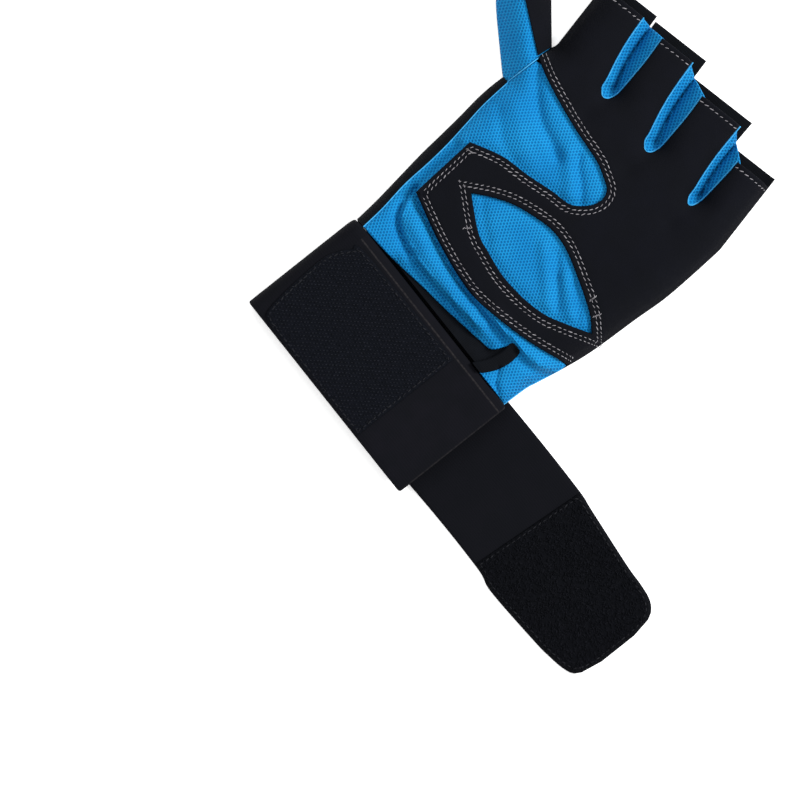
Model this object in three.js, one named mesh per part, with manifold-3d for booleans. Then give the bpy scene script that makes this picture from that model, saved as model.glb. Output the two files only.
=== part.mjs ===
// Left-hand weightlifting glove, lying on its back with the palm up and the wrist strap open.
// Millimetres, +Z up, +Y towards the fingers, +X towards the little finger.
// The origin is under the middle of the wrist strap, on the surface that the glove lies on.
import * as THREE from "three";
import { mergeVertices } from "three/addons/utils/BufferGeometryUtils.js";
import Module from "manifold-3d";

const wasm = await Module();
wasm.setup();

// Palm, from the strap's edge to the finger roots and across the knuckles.
const palmLength = 102.6;
const palmWidth = 102;

// Walls of the cloth layers, and the clearance between pieces that are sewn together.
const meshWall = 1.0;
const suedeWall = 1.0;
const backWall = 1.2;
const cuffWall = 1.2;
const bindingWall = 1.0;
const seamGap = 0.3;

// Wrist strap: elastic webbing, folded round the wrist, with its tail left open.
const webbingWidth = 50.8;
const webbingThickness = 2.0;
const bandLength = 92;
const bandHeight = 14.5;
const bandFold = 5;
const bandCorner = 3;
const tailLength = 98.2;
const loopTapeThickness = 1.4;
const loopTapeLength = 60.8;
const loopTapeWidth = 46.4;
const hookTapeThickness = 1.4;
const hookTapeLength = 56.5;
const hookTapeInset = 0.6;

// Fingers: open stubs that lean towards the thumb side.
const fingerPitch = 26;
const stubLength = 30;
const fingerLean = THREE.MathUtils.degToRad(13.5);
const backOverhang = 4;
const creaseSlit = 0.8;

// Thumb: an open stub.
const thumbLength = 21;
const thumbWidth = 21;
const thumbLean = THREE.MathUtils.degToRad(52);
const thumbSplit = 0.52;
const thumbBend = { start: 0.2, drop: 0.024, straight: 0.35 };

// Where the back panel and the palm start, just clear of the strap.
const strapClearance = 0.4;
const bandEdge = webbingWidth / 2;
const palmStart = bandEdge + strapClearance;
const fingerRoot = palmStart + palmLength;
const halfPalm = palmWidth / 2;

// Steps of the curved outlines.
const gapSteps = 10;
const thumbSteps = 10;
const baySteps = 28;
const lensSteps = 14;
const bindingSteps = 6;

// Spacing of the cloth surface's net of points.
const netAcross = palmWidth / 28;
const netAlong = [
  { from: -0.04, to: 0.22, rows: 10 },
  { from: 0.22, to: 1.0, rows: 17 },
  { from: 1.0, to: 1.48, rows: 11 },
];

// Outlines on the palm: side is a share of half the palm's width, along a share of its length.
const leftOutline = [
  { side: -0.884, along: 0 },
  { side: -0.904, along: 0.1 },
  { side: -0.937, along: 0.22 },
  { side: -0.969, along: 0.336 },
  { side: -0.988, along: 0.433 },
  { side: -1.008, along: 0.53 },
  { side: -1.033, along: 0.627 },
  { side: -1.041, along: 0.695 },
  { side: -1.039, along: 0.75 },
];
const rightOutline = [
  { side: 0.878, along: 0 },
  { side: 0.885, along: 0.1 },
  { side: 0.9, along: 0.142 },
  { side: 0.943, along: 0.258 },
  { side: 0.975, along: 0.384 },
  { side: 0.99, along: 0.579 },
  { side: 1.004, along: 0.705 },
  { side: 0.994, along: 0.841 },
  { side: 0.975, along: 0.98 },
];
const thumbSideSeam = [
  { side: -0.812, along: 0 },
  { side: -0.831, along: 0.1 },
  { side: -0.869, along: 0.22 },
  { side: -0.884, along: 0.336 },
  { side: -0.904, along: 0.433 },
  { side: -0.935, along: 0.53 },
  { side: -0.967, along: 0.627 },
  { side: -0.986, along: 0.75 },
];
const wristBorder = [
  { side: -0.812, along: 0 },
  { side: -0.576, along: 0.006 },
  { side: -0.386, along: 0.018 },
  { side: -0.194, along: 0.033 },
  { side: 0.049, along: 0.048 },
  { side: 0.245, along: 0.064 },
  { side: 0.404, along: 0.077 },
  { side: 0.5, along: 0.09 },
  { side: 0.549, along: 0.14 },
];
const bindingLine = [
  { side: 0.53, along: 0 },
  { side: 0.586, along: 0.055 },
  { side: 0.608, along: 0.11 },
  { side: 0.6, along: 0.155 },
];
const suedeLowerBorder = [
  { side: -0.767, along: 0.231 },
  { side: -0.365, along: 0.182 },
  { side: 0.041, along: 0.157 },
  { side: 0.333, along: 0.177 },
  { side: 0.643, along: 0.218 },
  { side: 0.943, along: 0.276 },
];
const bayLowerBorder = [
  { side: -0.808, along: 0.502 },
  { side: -0.573, along: 0.563 },
  { side: -0.353, along: 0.592 },
  { side: -0.143, along: 0.626 },
  { side: 0.004, along: 0.645 },
  { side: 0.075, along: 0.675 },
  { side: 0.124, along: 0.714 },
  { side: 0.135, along: 0.756 },
  { side: 0.098, along: 0.788 },
  { side: 0.025, along: 0.804 },
  { side: -0.114, along: 0.824 },
  { side: -0.333, along: 0.833 },
  { side: -0.563, along: 0.847 },
  { side: -0.818, along: 0.87 },
  { side: -0.985, along: 0.895 },
];
const lensUpper = [
  { side: -0.504, along: 0.388 },
  { side: -0.382, along: 0.439 },
  { side: -0.229, along: 0.487 },
  { side: 0, along: 0.528 },
  { side: 0.147, along: 0.538 },
  { side: 0.286, along: 0.53 },
  { side: 0.45, along: 0.506 },
  { side: 0.614, along: 0.479 },
  { side: 0.76, along: 0.449 },
  { side: 0.867, along: 0.414 },
];
const lensLower = [
  { side: 0.867, along: 0.414 },
  { side: 0.682, along: 0.359 },
  { side: 0.533, along: 0.321 },
  { side: 0.343, along: 0.298 },
  { side: 0.118, along: 0.29 },
  { side: -0.078, along: 0.302 },
  { side: -0.245, along: 0.319 },
  { side: -0.504, along: 0.388 },
];

const indexRootRow = { side: -0.975, along: 0.98 };
const thumbCrotchRow = { side: -0.985, along: 0.96 };
const thumbSuedeCorner = { side: -0.995, along: 0.897 };
const cuffApronOutline = [
  { side: -0.77, along: -0.015 },
  { side: 0.79, along: -0.015 },
  { side: 0.79, along: 0.12 },
  { side: 0.4, along: 0.12 },
  { side: -0.3, along: 0.08 },
  { side: -0.77, along: 0.05 },
];

// Where the mesh ends under the suede, and where the suede starts on the right edge.
const meshBareTo = 0.262;
const meshCoveredFrom = 0.3;
const meshTop = 0.93;
const suedeFrom = 0.29;
const meshStep = [
  { side: 0.936, along: 0.266 },
  { side: 0.8, along: 0.238 },
];
const meshCorners = [
  { side: 0.8, along: 0.93 },
  { side: -0.75, along: 0.93 },
  { side: -0.88, along: 0.9 },
  { side: -0.975, along: 0.88 },
];

// Finger gaps: out is a share of the stub's length, the rest shares of the finger pitch.
const gapShape = [
  { out: -0.03, suedeLeft: -0.05, suedeRight: 0, crease: 0.02 },
  { out: 0, suedeLeft: -0.1, suedeRight: 0.045, crease: 0.02 },
  { out: 0.05, suedeLeft: -0.155, suedeRight: 0.07, crease: 0.01 },
  { out: 0.16, suedeLeft: -0.2, suedeRight: 0.08, crease: -0.01 },
  { out: 0.4, suedeLeft: -0.33, suedeRight: 0.03, crease: -0.16 },
  { out: 0.72, suedeLeft: -0.47, suedeRight: -0.05, crease: -0.3 },
  { out: 1.3, suedeLeft: -0.66, suedeRight: -0.24, crease: -0.48 },
];
const creaseStart = 0.16;
const gaps = [
  { name: "index_middle", pitches: -1, lean: 1.0 },
  { name: "middle_ring", pitches: 0, lean: 1.0 },
  { name: "ring_little", pitches: 1, lean: 0.75 },
];
const middleGap = 0.12;
const fingers = [
  { name: "index", pitches: -1.5, reach: 0.98 },
  { name: "middle", pitches: -0.5, reach: 1.12 },
  { name: "ring", pitches: 0.5, reach: 1.06 },
  { name: "little", pitches: 1.5, reach: 0.88 },
];

// Height of the lining's crown, as a share of the cuff's top, and the width of its edge roll.
const crownSections = [
  { along: 0, crown: 1.0, roll: 0.07 },
  { along: 0.12, crown: 1.0, roll: 0.08 },
  { along: 0.35, crown: 1.06, roll: 0.12 },
  { along: 0.7, crown: 1.1, roll: 0.14 },
  { along: 1.0, crown: 1.0, roll: 0.12 },
  { along: 1.4, crown: 0.86, roll: 0.1 },
];
const rollPower = 2.2;
const steepestLift = 2.4;

// Folds: depth is a share of the band's height, spread a share of the palm's length.
const folds = [
  {
    name: "crease above the cuff",
    depth: -0.13,
    spread: 0.02,
    path: [
      { side: -0.78, along: 0.2 },
      { side: -0.745, along: 0.14 },
      { side: -0.62, along: 0.1 },
      { side: -0.35, along: 0.07 },
      { side: 0, along: 0.073 },
      { side: 0.32, along: 0.087 },
    ],
  },
  {
    name: "tube of cloth below the suede",
    depth: 0.09,
    spread: 0.022,
    path: [
      { side: -0.6, along: 0.16 },
      { side: -0.3, along: 0.12 },
      { side: 0.1, along: 0.116 },
      { side: 0.4, along: 0.125 },
    ],
  },
  {
    name: "crease under the suede border",
    depth: -0.1,
    spread: 0.016,
    path: [
      { side: -0.02, along: 0.157 },
      { side: 0.16, along: 0.158 },
      { side: 0.42, along: 0.155 },
      { side: 0.52, along: 0.135 },
    ],
  },
  {
    name: "fold over the slit",
    depth: 0.1,
    spread: 0.022,
    path: [
      { side: 0.35, along: 0.19 },
      { side: 0.62, along: 0.2 },
      { side: 0.86, along: 0.215 },
    ],
  },
  {
    name: "lower crease in the bay",
    depth: -0.1,
    spread: 0.03,
    path: [
      { side: -0.86, along: 0.84 },
      { side: -0.725, along: 0.787 },
      { side: -0.58, along: 0.752 },
      { side: -0.33, along: 0.725 },
    ],
  },
  {
    name: "ridge in the bay",
    depth: 0.07,
    spread: 0.03,
    path: [
      { side: -0.27, along: 0.763 },
      { side: -0.1, along: 0.695 },
    ],
  },
  {
    name: "upper crease in the bay",
    depth: -0.08,
    spread: 0.02,
    path: [
      { side: -0.22, along: 0.772 },
      { side: -0.08, along: 0.733 },
      { side: 0.035, along: 0.694 },
    ],
  },
  {
    name: "first ripple in the lens",
    depth: 0.05,
    spread: 0.022,
    path: [
      { side: 0.137, along: 0.474 },
      { side: 0.49, along: 0.355 },
    ],
  },
  {
    name: "second ripple in the lens",
    depth: 0.05,
    spread: 0.022,
    path: [
      { side: 0.4, along: 0.472 },
      { side: 0.66, along: 0.396 },
    ],
  },
];
const rootValley = { depth: -0.12, spread: 0.045, from: 0.9, to: 1.0 };

// Strap planform: along is a share of the band's or the tail's length, the rest of its width.
const lowerLayer = [
  { band: -0.6, tail: 0, upper: 0.49, lower: -0.512 },
  { band: -0.4, tail: 0, upper: 0.49, lower: -0.51 },
  { band: 0.5, tail: 0, upper: 0.545, lower: -0.42 },
  { band: 0.5, tail: 0.407, upper: 0.549, lower: -0.41 },
  { band: 0.5, tail: 0.52, upper: 0.53, lower: -0.44 },
  { band: 0.5, tail: 0.772, upper: 0.481, lower: -0.417 },
  { band: 0.5, tail: 0.856, upper: 0.474, lower: -0.4 },
  { band: 0.5, tail: 0.927, upper: 0.455, lower: -0.374 },
  { band: 0.5, tail: 0.972, upper: 0.4, lower: -0.33 },
  { band: 0.5, tail: 0.994, upper: 0.3, lower: -0.23 },
  { band: 0.5, tail: 1.0, upper: 0.2, lower: -0.12 },
];
const hookSlant = 0.06;

// Loop tape outline: across from its straight end, as shares of its length and width.
const loopTapeOutline = [
  { back: 0, side: -0.5 },
  { back: 0, side: 0.5 },
  { back: 0.85, side: 0.48 },
  { back: 0.93, side: 0.41 },
  { back: 0.985, side: 0.28 },
  { back: 1.0, side: 0.14 },
  { back: 0.985, side: -0.2 },
  { back: 0.96, side: -0.42 },
  { back: 0.92, side: -0.485 },
  { back: 0.8, side: -0.5 },
];
const loopTapeEnd = 19.4;
const loopTapeShift = -2;

// Turns rows of shares into points on the glove.
const onPalm = (row) => new THREE.Vector2(row.side * halfPalm, palmStart + row.along * palmLength);
const smooth = (points, steps) => new THREE.SplineCurve(points).getPoints(steps);
const palmCurve = (rows, steps = rows.length + 3) => smooth(rows.map(onPalm), steps);

// Value of a column at a place in a table of sections.
function between(rows, key, place, column) {
  const last = rows.length - 1;
  if (place <= rows[0][key]) return rows[0][column];
  if (place >= rows[last][key]) return rows[last][column];
  const upper = rows.findIndex((row) => row[key] > place);
  const low = rows[upper - 1];
  const high = rows[upper];
  const share = (place - low[key]) / (high[key] - low[key]);
  return THREE.MathUtils.lerp(low[column], high[column], share);
}

// Finger directions, places and end lines.
const gapMiddle = (gap) => (middleGap + gap.pitches) * fingerPitch;
const outward = new THREE.Vector2(-Math.sin(fingerLean), Math.cos(fingerLean));
function fingerEnd(finger, extra) {
  const reach = finger.reach * stubLength + extra;
  const foot = new THREE.Vector2((middleGap + finger.pitches) * fingerPitch, fingerRoot);
  return foot.addScaledVector(outward, reach);
}

// Keeps the part of a path that lies before an end line.
function clipPath(path, end, direction) {
  const ahead = (point) => point.clone().sub(end).dot(direction);
  const kept = [];
  for (let i = 0; i < path.length; i += 1) {
    if (ahead(path[i]) > 0) {
      const before = ahead(path[i - 1]);
      const share = before / (before - ahead(path[i]));
      kept.push(path[i - 1].clone().lerp(path[i], share));
      break;
    }
    kept.push(path[i]);
  }
  return kept;
}

function gapPath(gap, column, shift = 0) {
  const points = gapShape.map((row) => new THREE.Vector2(
    gapMiddle(gap) + row[column] * fingerPitch * gap.lean + shift,
    fingerRoot + row.out * stubLength,
  ));
  return smooth(points, gapSteps);
}

function creasePath(gap) {
  const start = fingerRoot + creaseStart * stubLength;
  return gapPath(gap, "crease").filter((point) => point.y >= start);
}

// Outer edges of the index and little fingers, drawn past the stubs and clipped later.
const spareReach = 1.4;
const edgeReach = stubLength * spareReach;
const littleRoot = onPalm(rightOutline[rightOutline.length - 1]);
const littleEdge = [littleRoot, littleRoot.clone().addScaledVector(outward, edgeReach)];
const indexRoot = onPalm(indexRootRow);
const indexEdge = [indexRoot, indexRoot.clone().addScaledVector(outward, edgeReach)];

// Thumb: a lower root on the left outline, a crotch below the index finger and two straight sides.
const thumbOut = new THREE.Vector2(-Math.sin(thumbLean), Math.cos(thumbLean));
const thumbUp = new THREE.Vector2(Math.cos(thumbLean), Math.sin(thumbLean));
const thumbCrotch = onPalm(thumbCrotchRow);
const thumbRoot = onPalm(leftOutline[leftOutline.length - 1]);
const thumbEnd = thumbCrotch.clone().addScaledVector(thumbOut, thumbLength);
const thumbLowerEnd = thumbEnd.clone().addScaledVector(thumbUp, -thumbWidth);
const thumbLowerSide = smooth([
  thumbRoot,
  thumbRoot.clone()
    .addScaledVector(thumbOut, thumbLength * thumbBend.start)
    .addScaledVector(thumbUp, -thumbWidth * thumbBend.drop),
  thumbLowerEnd.clone().addScaledVector(thumbOut, -thumbLength * thumbBend.straight),
  thumbLowerEnd,
], thumbSteps);
const thumbUpperSide = [thumbEnd, thumbCrotch];

const leftEdge = palmCurve(leftOutline);
const rightEdge = palmCurve(rightOutline);

// The paths where the palm layer comes down to the back panel.
const sidePaths = [
  [...leftEdge, ...thumbLowerSide.slice(1)],
  [...thumbUpperSide, ...indexEdge],
  [...rightEdge, littleEdge[1]],
];
const creasePaths = gaps.map(creasePath);
const outlineRing = [
  ...leftEdge,
  ...thumbLowerSide.slice(1),
  ...thumbUpperSide,
  ...indexEdge,
  ...[...littleEdge].reverse(),
  ...[...rightEdge].reverse(),
];

function distanceToPath(x, y, path) {
  let nearest = Infinity;
  for (let i = 1; i < path.length; i += 1) {
    const a = path[i - 1];
    const b = path[i];
    const span = b.clone().sub(a);
    const share = THREE.MathUtils.clamp(((x - a.x) * span.x + (y - a.y) * span.y) / span.lengthSq(), 0, 1);
    nearest = Math.min(nearest, Math.hypot(x - a.x - share * span.x, y - a.y - share * span.y));
  }
  return nearest;
}
const nearestOf = (x, y, paths) => Math.min(...paths.map((path) => distanceToPath(x, y, path)));

function insideRing(x, y, ring) {
  let inside = false;
  for (let i = 0, j = ring.length - 1; i < ring.length; j = i, i += 1) {
    const a = ring[i];
    const b = ring[j];
    if ((a.y > y) !== (b.y > y) && x < a.x + ((b.x - a.x) * (y - a.y)) / (b.y - a.y)) inside = !inside;
  }
  return inside;
}

// The back panel lies on the surface and rises over the strap's lower layer at the wrist.
const rampStart = 0.03;
const rampEnd = 0.12;
const strapStack = webbingThickness + seamGap;
const backUnderside = (along) => strapStack * (1 - THREE.MathUtils.smoothstep(along, rampStart, rampEnd));

// Height of the palm lining's underside above the surface.
const cuffTop = bandHeight - webbingThickness - seamGap;
const foldPaths = folds.map((fold) => fold.path.map(onPalm));
const rootValleyPaths = gaps.map((gap) => {
  const x = gapMiddle(gap);
  return [rootValley.from, rootValley.to].map((along) => new THREE.Vector2(x, palmStart + along * palmLength));
});

function liningHeight(x, y) {
  const along = (y - palmStart) / palmLength;
  const lowest = backUnderside(along) + backWall + seamGap;
  if (!insideRing(x, y, outlineRing)) return lowest;
  const crown = between(crownSections, "along", along, "crown") * (cuffTop + seamGap);
  const roll = between(crownSections, "along", along, "roll") * palmLength;
  const edge = Math.min(nearestOf(x, y, sidePaths), nearestOf(x, y, creasePaths));
  const rise = 1 - (1 - Math.min(edge / roll, 1)) ** rollPower;
  let height = lowest + (crown - lowest) * rise;
  folds.forEach((fold, i) => {
    const away = distanceToPath(x, y, foldPaths[i]) / (fold.spread * palmLength);
    height += fold.depth * bandHeight * Math.exp(-away * away);
  });
  for (const path of rootValleyPaths) {
    const away = distanceToPath(x, y, path) / (rootValley.spread * palmLength);
    height += rootValley.depth * bandHeight * Math.exp(-away * away);
  }
  return Math.max(height, lowest);
}

// Share by which an upright measure grows over a wall that leans.
const probe = 0.5;
function liftAt(x, y) {
  const slopeX = (liningHeight(x + probe, y) - liningHeight(x - probe, y)) / (2 * probe);
  const slopeY = (liningHeight(x, y + probe) - liningHeight(x, y - probe)) / (2 * probe);
  return Math.min(Math.hypot(1, slopeX, slopeY), steepestLift);
}

// The cloth's net of points, shared by all layers so that they stay parallel.
const netRows = netAlong.flatMap(({ from, to, rows }) => Array.from(
  { length: rows },
  (_, i) => palmStart + (from + ((to - from) * i) / rows) * palmLength,
));
const spare = 1.2;
const netReach = netAcross - Math.min(...outlineRing.map((point) => point.x));
const netColumns = Array.from(
  { length: Math.ceil((netReach + halfPalm * spare) / netAcross) + 1 },
  (_, i) => -netReach + i * netAcross,
);
const netHeights = netRows.map((y) => netColumns.map((x) => liningHeight(x, y)));
const netLifts = netRows.map((y) => netColumns.map((x) => liftAt(x, y)));

// Solids and their joins and cuts.
function toSolid(geometry) {
  const bare = geometry.clone();
  bare.deleteAttribute("normal");
  bare.deleteAttribute("uv");
  const merged = mergeVertices(bare, 1e-5);
  return new wasm.Manifold(new wasm.Mesh({
    numProp: 3,
    vertProperties: new Float32Array(merged.attributes.position.array),
    triVerts: new Uint32Array(merged.index.array),
  }));
}

function toGeometry(solid) {
  const mesh = solid.getMesh();
  const geometry = new THREE.BufferGeometry();
  geometry.setAttribute("position", new THREE.BufferAttribute(new Float32Array(mesh.vertProperties), 3));
  geometry.setIndex(new THREE.BufferAttribute(new Uint32Array(mesh.triVerts), 1));
  const flat = geometry.toNonIndexed();
  flat.computeVertexNormals();
  return flat;
}

// Upright prism over an outline, with holes.
const prismFloor = -5;
const prismTop = 60;
function prism(outline, holes = [], from = prismFloor, to = prismTop) {
  const shape = new THREE.Shape(outline);
  shape.holes = holes.map((hole) => new THREE.Path(hole));
  const geometry = new THREE.ExtrudeGeometry(shape, { depth: to - from, bevelEnabled: false, steps: 1 });
  geometry.translate(0, 0, from);
  return toSolid(geometry);
}

// Cloth layer between two heights over the net, cut to an outline.
function clothLayer(outline, holes, bottomAt, topAt) {
  const box = new THREE.Box2().setFromPoints(outline);
  const columns = netColumns.map((_, i) => i).filter((i) => (
    netColumns[i] > box.min.x - netAcross && netColumns[i] < box.max.x + netAcross
  ));
  const lastRow = netRows.length - 1;
  const rows = netRows.map((_, j) => j).filter((j) => (
    netRows[Math.min(j + 1, lastRow)] > box.min.y && netRows[Math.max(j - 1, 0)] < box.max.y
  ));
  const positions = [];
  for (const heightAt of [topAt, bottomAt]) {
    for (const j of rows) for (const i of columns) positions.push(netColumns[i], netRows[j], heightAt(i, j));
  }
  const across = columns.length;
  const below = across * rows.length;
  const faces = [];
  const quad = (a, b, c, d) => faces.push(a, b, c, a, c, d);
  for (let j = 0; j + 1 < rows.length; j += 1) {
    for (let i = 0; i + 1 < across; i += 1) {
      const corner = j * across + i;
      quad(corner, corner + 1, corner + across + 1, corner + across);
      faces.push(below + corner, below + corner + across + 1, below + corner + 1);
      faces.push(below + corner, below + corner + across, below + corner + across + 1);
    }
  }
  const lastStart = (rows.length - 1) * across;
  for (let i = 0; i + 1 < across; i += 1) {
    quad(below + i, below + i + 1, i + 1, i);
    quad(lastStart + i, lastStart + i + 1, below + lastStart + i + 1, below + lastStart + i);
  }
  for (let j = 0; j + 1 < rows.length; j += 1) {
    const near = j * across;
    const far = near + across - 1;
    quad(near, near + across, below + near + across, below + near);
    quad(below + far, below + far + across, far + across, far);
  }
  const geometry = new THREE.BufferGeometry();
  geometry.setAttribute("position", new THREE.BufferAttribute(new Float32Array(positions), 3));
  geometry.setIndex(faces);
  return toSolid(geometry).intersect(prism(outline, holes));
}

// Heights of the layers over the net: from is the share of walls and gaps below a layer.
const layerHeight = (stack) => (i, j) => netHeights[j][i] + stack * netLifts[j][i];
const suedeBase = meshWall + seamGap;
const outerEdgeFade = 0.03 * palmLength;
const outerPaths = [sidePaths[1], sidePaths[2]];
const netFade = netRows.map((y) => netColumns.map((x) => (
  THREE.MathUtils.smoothstep(nearestOf(x, y, outerPaths), 0, outerEdgeFade)
)));
const suedeHeight = (wall) => (i, j) => (
  netHeights[j][i] + (suedeBase * netFade[j][i] + wall) * netLifts[j][i]
);

// Palm mesh: from the thumb-side seam to the right edge, with the slit at the wrist.
const meshInset = new THREE.Vector2(-outerEdgeFade - spare * netAcross, 0);
const alongOf = (point) => (point.y - palmStart) / palmLength;
const bareEdge = rightEdge.filter((point) => alongOf(point) < meshBareTo);
const coveredEdge = rightEdge
  .filter((point) => alongOf(point) > meshCoveredFrom && alongOf(point) < meshTop)
  .map((point) => point.clone().add(meshInset));
const seamShift = new THREE.Vector2(seamGap, 0);
const palmMeshOutline = [
  ...palmCurve(wristBorder).map((point, i) => (i === 0 ? point.add(seamShift) : point)),
  ...palmCurve(bindingLine, bindingSteps).reverse(),
  ...bareEdge,
  ...meshStep.map(onPalm),
  ...coveredEdge,
  ...meshCorners.map(onPalm),
  ...palmCurve(thumbSideSeam).slice(1).reverse().map((point) => point.clone().add(seamShift)),
];

// Suede overlay: lower border, right edge, finger strips, bay and tongue, with the lens cut out.
function suedeGap(gapIndex) {
  const gap = gaps[gapIndex];
  const rightSide = clipPath(gapPath(gap, "suedeRight"), fingerEnd(fingers[gapIndex + 1], 0), outward);
  const leftSide = clipPath(gapPath(gap, "suedeLeft"), fingerEnd(fingers[gapIndex], 0), outward);
  return [...rightSide.reverse(), ...leftSide];
}
const suedeOutline = [
  ...palmCurve(suedeLowerBorder),
  ...rightEdge.filter((point) => alongOf(point) > suedeFrom),
  ...clipPath(littleEdge, fingerEnd(fingers[3], 0), outward).slice(1),
  ...suedeGap(2),
  ...suedeGap(1),
  ...suedeGap(0),
  ...clipPath(indexEdge, fingerEnd(fingers[0], 0), outward).reverse(),
  ...palmCurve(bayLowerBorder, baySteps).reverse(),
];
const lensHole = [...palmCurve(lensUpper, lensSteps), ...palmCurve(lensLower, lensSteps).slice(1, -1)];

// Thumb: mesh over the whole stub, suede on the half next to the index finger.
const thumbSeamShift = new THREE.Vector2(-seamGap, 0);
const thumbOutline = [
  ...thumbLowerSide.map((point, i) => (i === 0 ? point.clone().add(thumbSeamShift) : point)),
  thumbEnd,
  thumbCrotch.clone().add(thumbSeamShift),
];
const thumbSuedeOutline = [
  thumbEnd.clone().addScaledVector(thumbUp, -thumbSplit * thumbWidth),
  thumbEnd,
  thumbCrotch.clone().add(thumbSeamShift),
  onPalm(thumbSuedeCorner).add(thumbSeamShift),
];

// Side walls between two fingers.
const underSuede = 1.5;
function fourchetteOutline(gapIndex) {
  const gap = gaps[gapIndex];
  const leftEnd = fingerEnd(fingers[gapIndex], 0);
  const rightEnd = fingerEnd(fingers[gapIndex + 1], 0);
  const left = clipPath(gapPath(gap, "suedeLeft", -underSuede), leftEnd, outward);
  const right = clipPath(gapPath(gap, "suedeRight", underSuede), rightEnd, outward);
  const middle = leftEnd.clone().lerp(rightEnd, 0.5);
  const crease = clipPath(creasePath(gap), middle, outward);
  const root = fingerRoot + gapShape[0].out * stubLength;
  const tip = new THREE.Vector2(gapMiddle(gap), root - underSuede);
  return [...left.reverse(), tip, ...right, crease[crease.length - 1]];
}

// Back panel: flat plate with a ramp at the wrist, and a strip that wraps up on the thumb side.
function backOutline() {
  const half = creaseSlit / 2;
  const fingerEdges = [2, 1, 0].flatMap((i) => {
    const right = creasePaths[i].map((point) => new THREE.Vector2(point.x + half, point.y));
    const left = creasePaths[i].map((point) => new THREE.Vector2(point.x - half, point.y));
    return [
      ...clipPath(right, fingerEnd(fingers[i + 1], backOverhang), outward).reverse(),
      ...clipPath(left, fingerEnd(fingers[i], backOverhang), outward),
    ];
  });
  return [
    ...rightEdge,
    ...clipPath(littleEdge, fingerEnd(fingers[3], backOverhang), outward).slice(1),
    ...fingerEdges,
    ...clipPath(indexEdge, fingerEnd(fingers[0], backOverhang), outward).reverse(),
    thumbCrotch,
    thumbEnd,
    ...[...thumbLowerSide].reverse(),
    ...[...leftEdge].reverse().slice(1),
  ];
}

function backPanel() {
  const rampSteps = 6;
  const reach = palmStart + palmLength + stubLength * 2;
  const rampRows = Array.from({ length: rampSteps + 1 }, (_, i) => (
    rampStart + ((rampEnd - rampStart) * i) / rampSteps
  ));
  const underside = [
    new THREE.Vector2(bandEdge, strapStack),
    ...rampRows.map((along) => new THREE.Vector2(palmStart + along * palmLength, backUnderside(along))),
    new THREE.Vector2(reach, 0),
  ];
  const upside = underside.map((point) => new THREE.Vector2(point.x, point.y + backWall)).reverse();
  const span = netReach + halfPalm * spare;
  const profile = new THREE.ExtrudeGeometry(
    new THREE.Shape([...underside, ...upside]),
    { depth: span, bevelEnabled: false, steps: 1 },
  );
  profile.rotateX(Math.PI / 2);
  profile.rotateZ(Math.PI / 2);
  profile.translate(-netReach, 0, 0);
  const plate = toSolid(profile).intersect(prism(backOutline()));
  const strip = clothLayer(
    [...palmCurve(thumbSideSeam), ...[...leftEdge].reverse()],
    [],
    layerHeight(0),
    layerHeight(meshWall),
  );
  const wallOutline = [
    ...leftEdge.map((point) => new THREE.Vector2(point.x + backWall, point.y)),
    ...[...leftEdge].reverse(),
  ];
  const wall = clothLayer(
    wallOutline,
    [],
    (i, j) => backUnderside((netRows[j] - palmStart) / palmLength),
    layerHeight(meshWall),
  );
  return plate.add(strip).add(wall);
}

// Closed outline of a flattened tube's section, seen along the hand.
function tubeSection(left, right, bottom, top, fold, steps) {
  const middle = (bottom + top) / 2;
  const rise = (top - bottom) / 2;
  const arc = (centre, from) => Array.from({ length: steps + 1 }, (_, i) => {
    const angle = from + (Math.PI * i) / steps;
    return new THREE.Vector2(centre + fold * Math.cos(angle), middle + rise * Math.sin(angle));
  });
  return [...arc(right - fold, -Math.PI / 2), ...arc(left + fold, Math.PI / 2)];
}

// Extrudes a section that is drawn across the hand, from one place along the hand to another.
function alongHand(section, holes, from, to) {
  const shape = new THREE.Shape(section);
  shape.holes = holes.map((hole) => new THREE.Path(hole));
  const geometry = new THREE.ExtrudeGeometry(shape, { depth: to - from, bevelEnabled: false, steps: 1 });
  geometry.rotateX(Math.PI / 2);
  geometry.translate(0, to, 0);
  return toSolid(geometry);
}

// Cuff: a stretch tube inside the strap, whose palm side runs on under the mesh.
const foldSteps = 10;
function cuff() {
  const side = bandLength / 2 - webbingThickness - seamGap;
  const fold = bandFold - webbingThickness - seamGap;
  const outer = tubeSection(-side, side - seamGap, strapStack, cuffTop, fold, foldSteps);
  const inner = tubeSection(
    -side + cuffWall,
    side - seamGap - cuffWall,
    strapStack + cuffWall,
    cuffTop - cuffWall,
    fold - cuffWall,
    foldSteps,
  );
  const tube = alongHand(outer, [inner], -bandEdge, bandEdge);
  const apron = clothLayer(cuffApronOutline.map(onPalm), [], layerHeight(-seamGap - cuffWall), layerHeight(-seamGap));
  return tube.add(apron);
}

// Strap: upper layer, thumb-side fold, lower layer and tail in one.
const bandLeft = -bandLength / 2;
const bandRight = bandLength / 2;
const tailEnd = bandRight + tailLength;
function strapEdge(column) {
  return lowerLayer.map((row) => new THREE.Vector2(
    row.band * bandLength + row.tail * tailLength,
    row[column] * webbingWidth,
  ));
}

const cornerSteps = 4;
function roundedCornerBox(left, right, bottom, top, corner) {
  const bend = (x, y, from) => Array.from({ length: cornerSteps + 1 }, (_, i) => {
    const angle = from + (Math.PI / 2) * (i / cornerSteps);
    return new THREE.Vector2(x + corner * Math.cos(angle), y + corner * Math.sin(angle));
  });
  return [
    new THREE.Vector2(left, bottom),
    ...bend(right - corner, bottom + corner, -Math.PI / 2),
    ...bend(right - corner, top - corner, 0),
    new THREE.Vector2(left, top),
  ];
}

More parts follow.
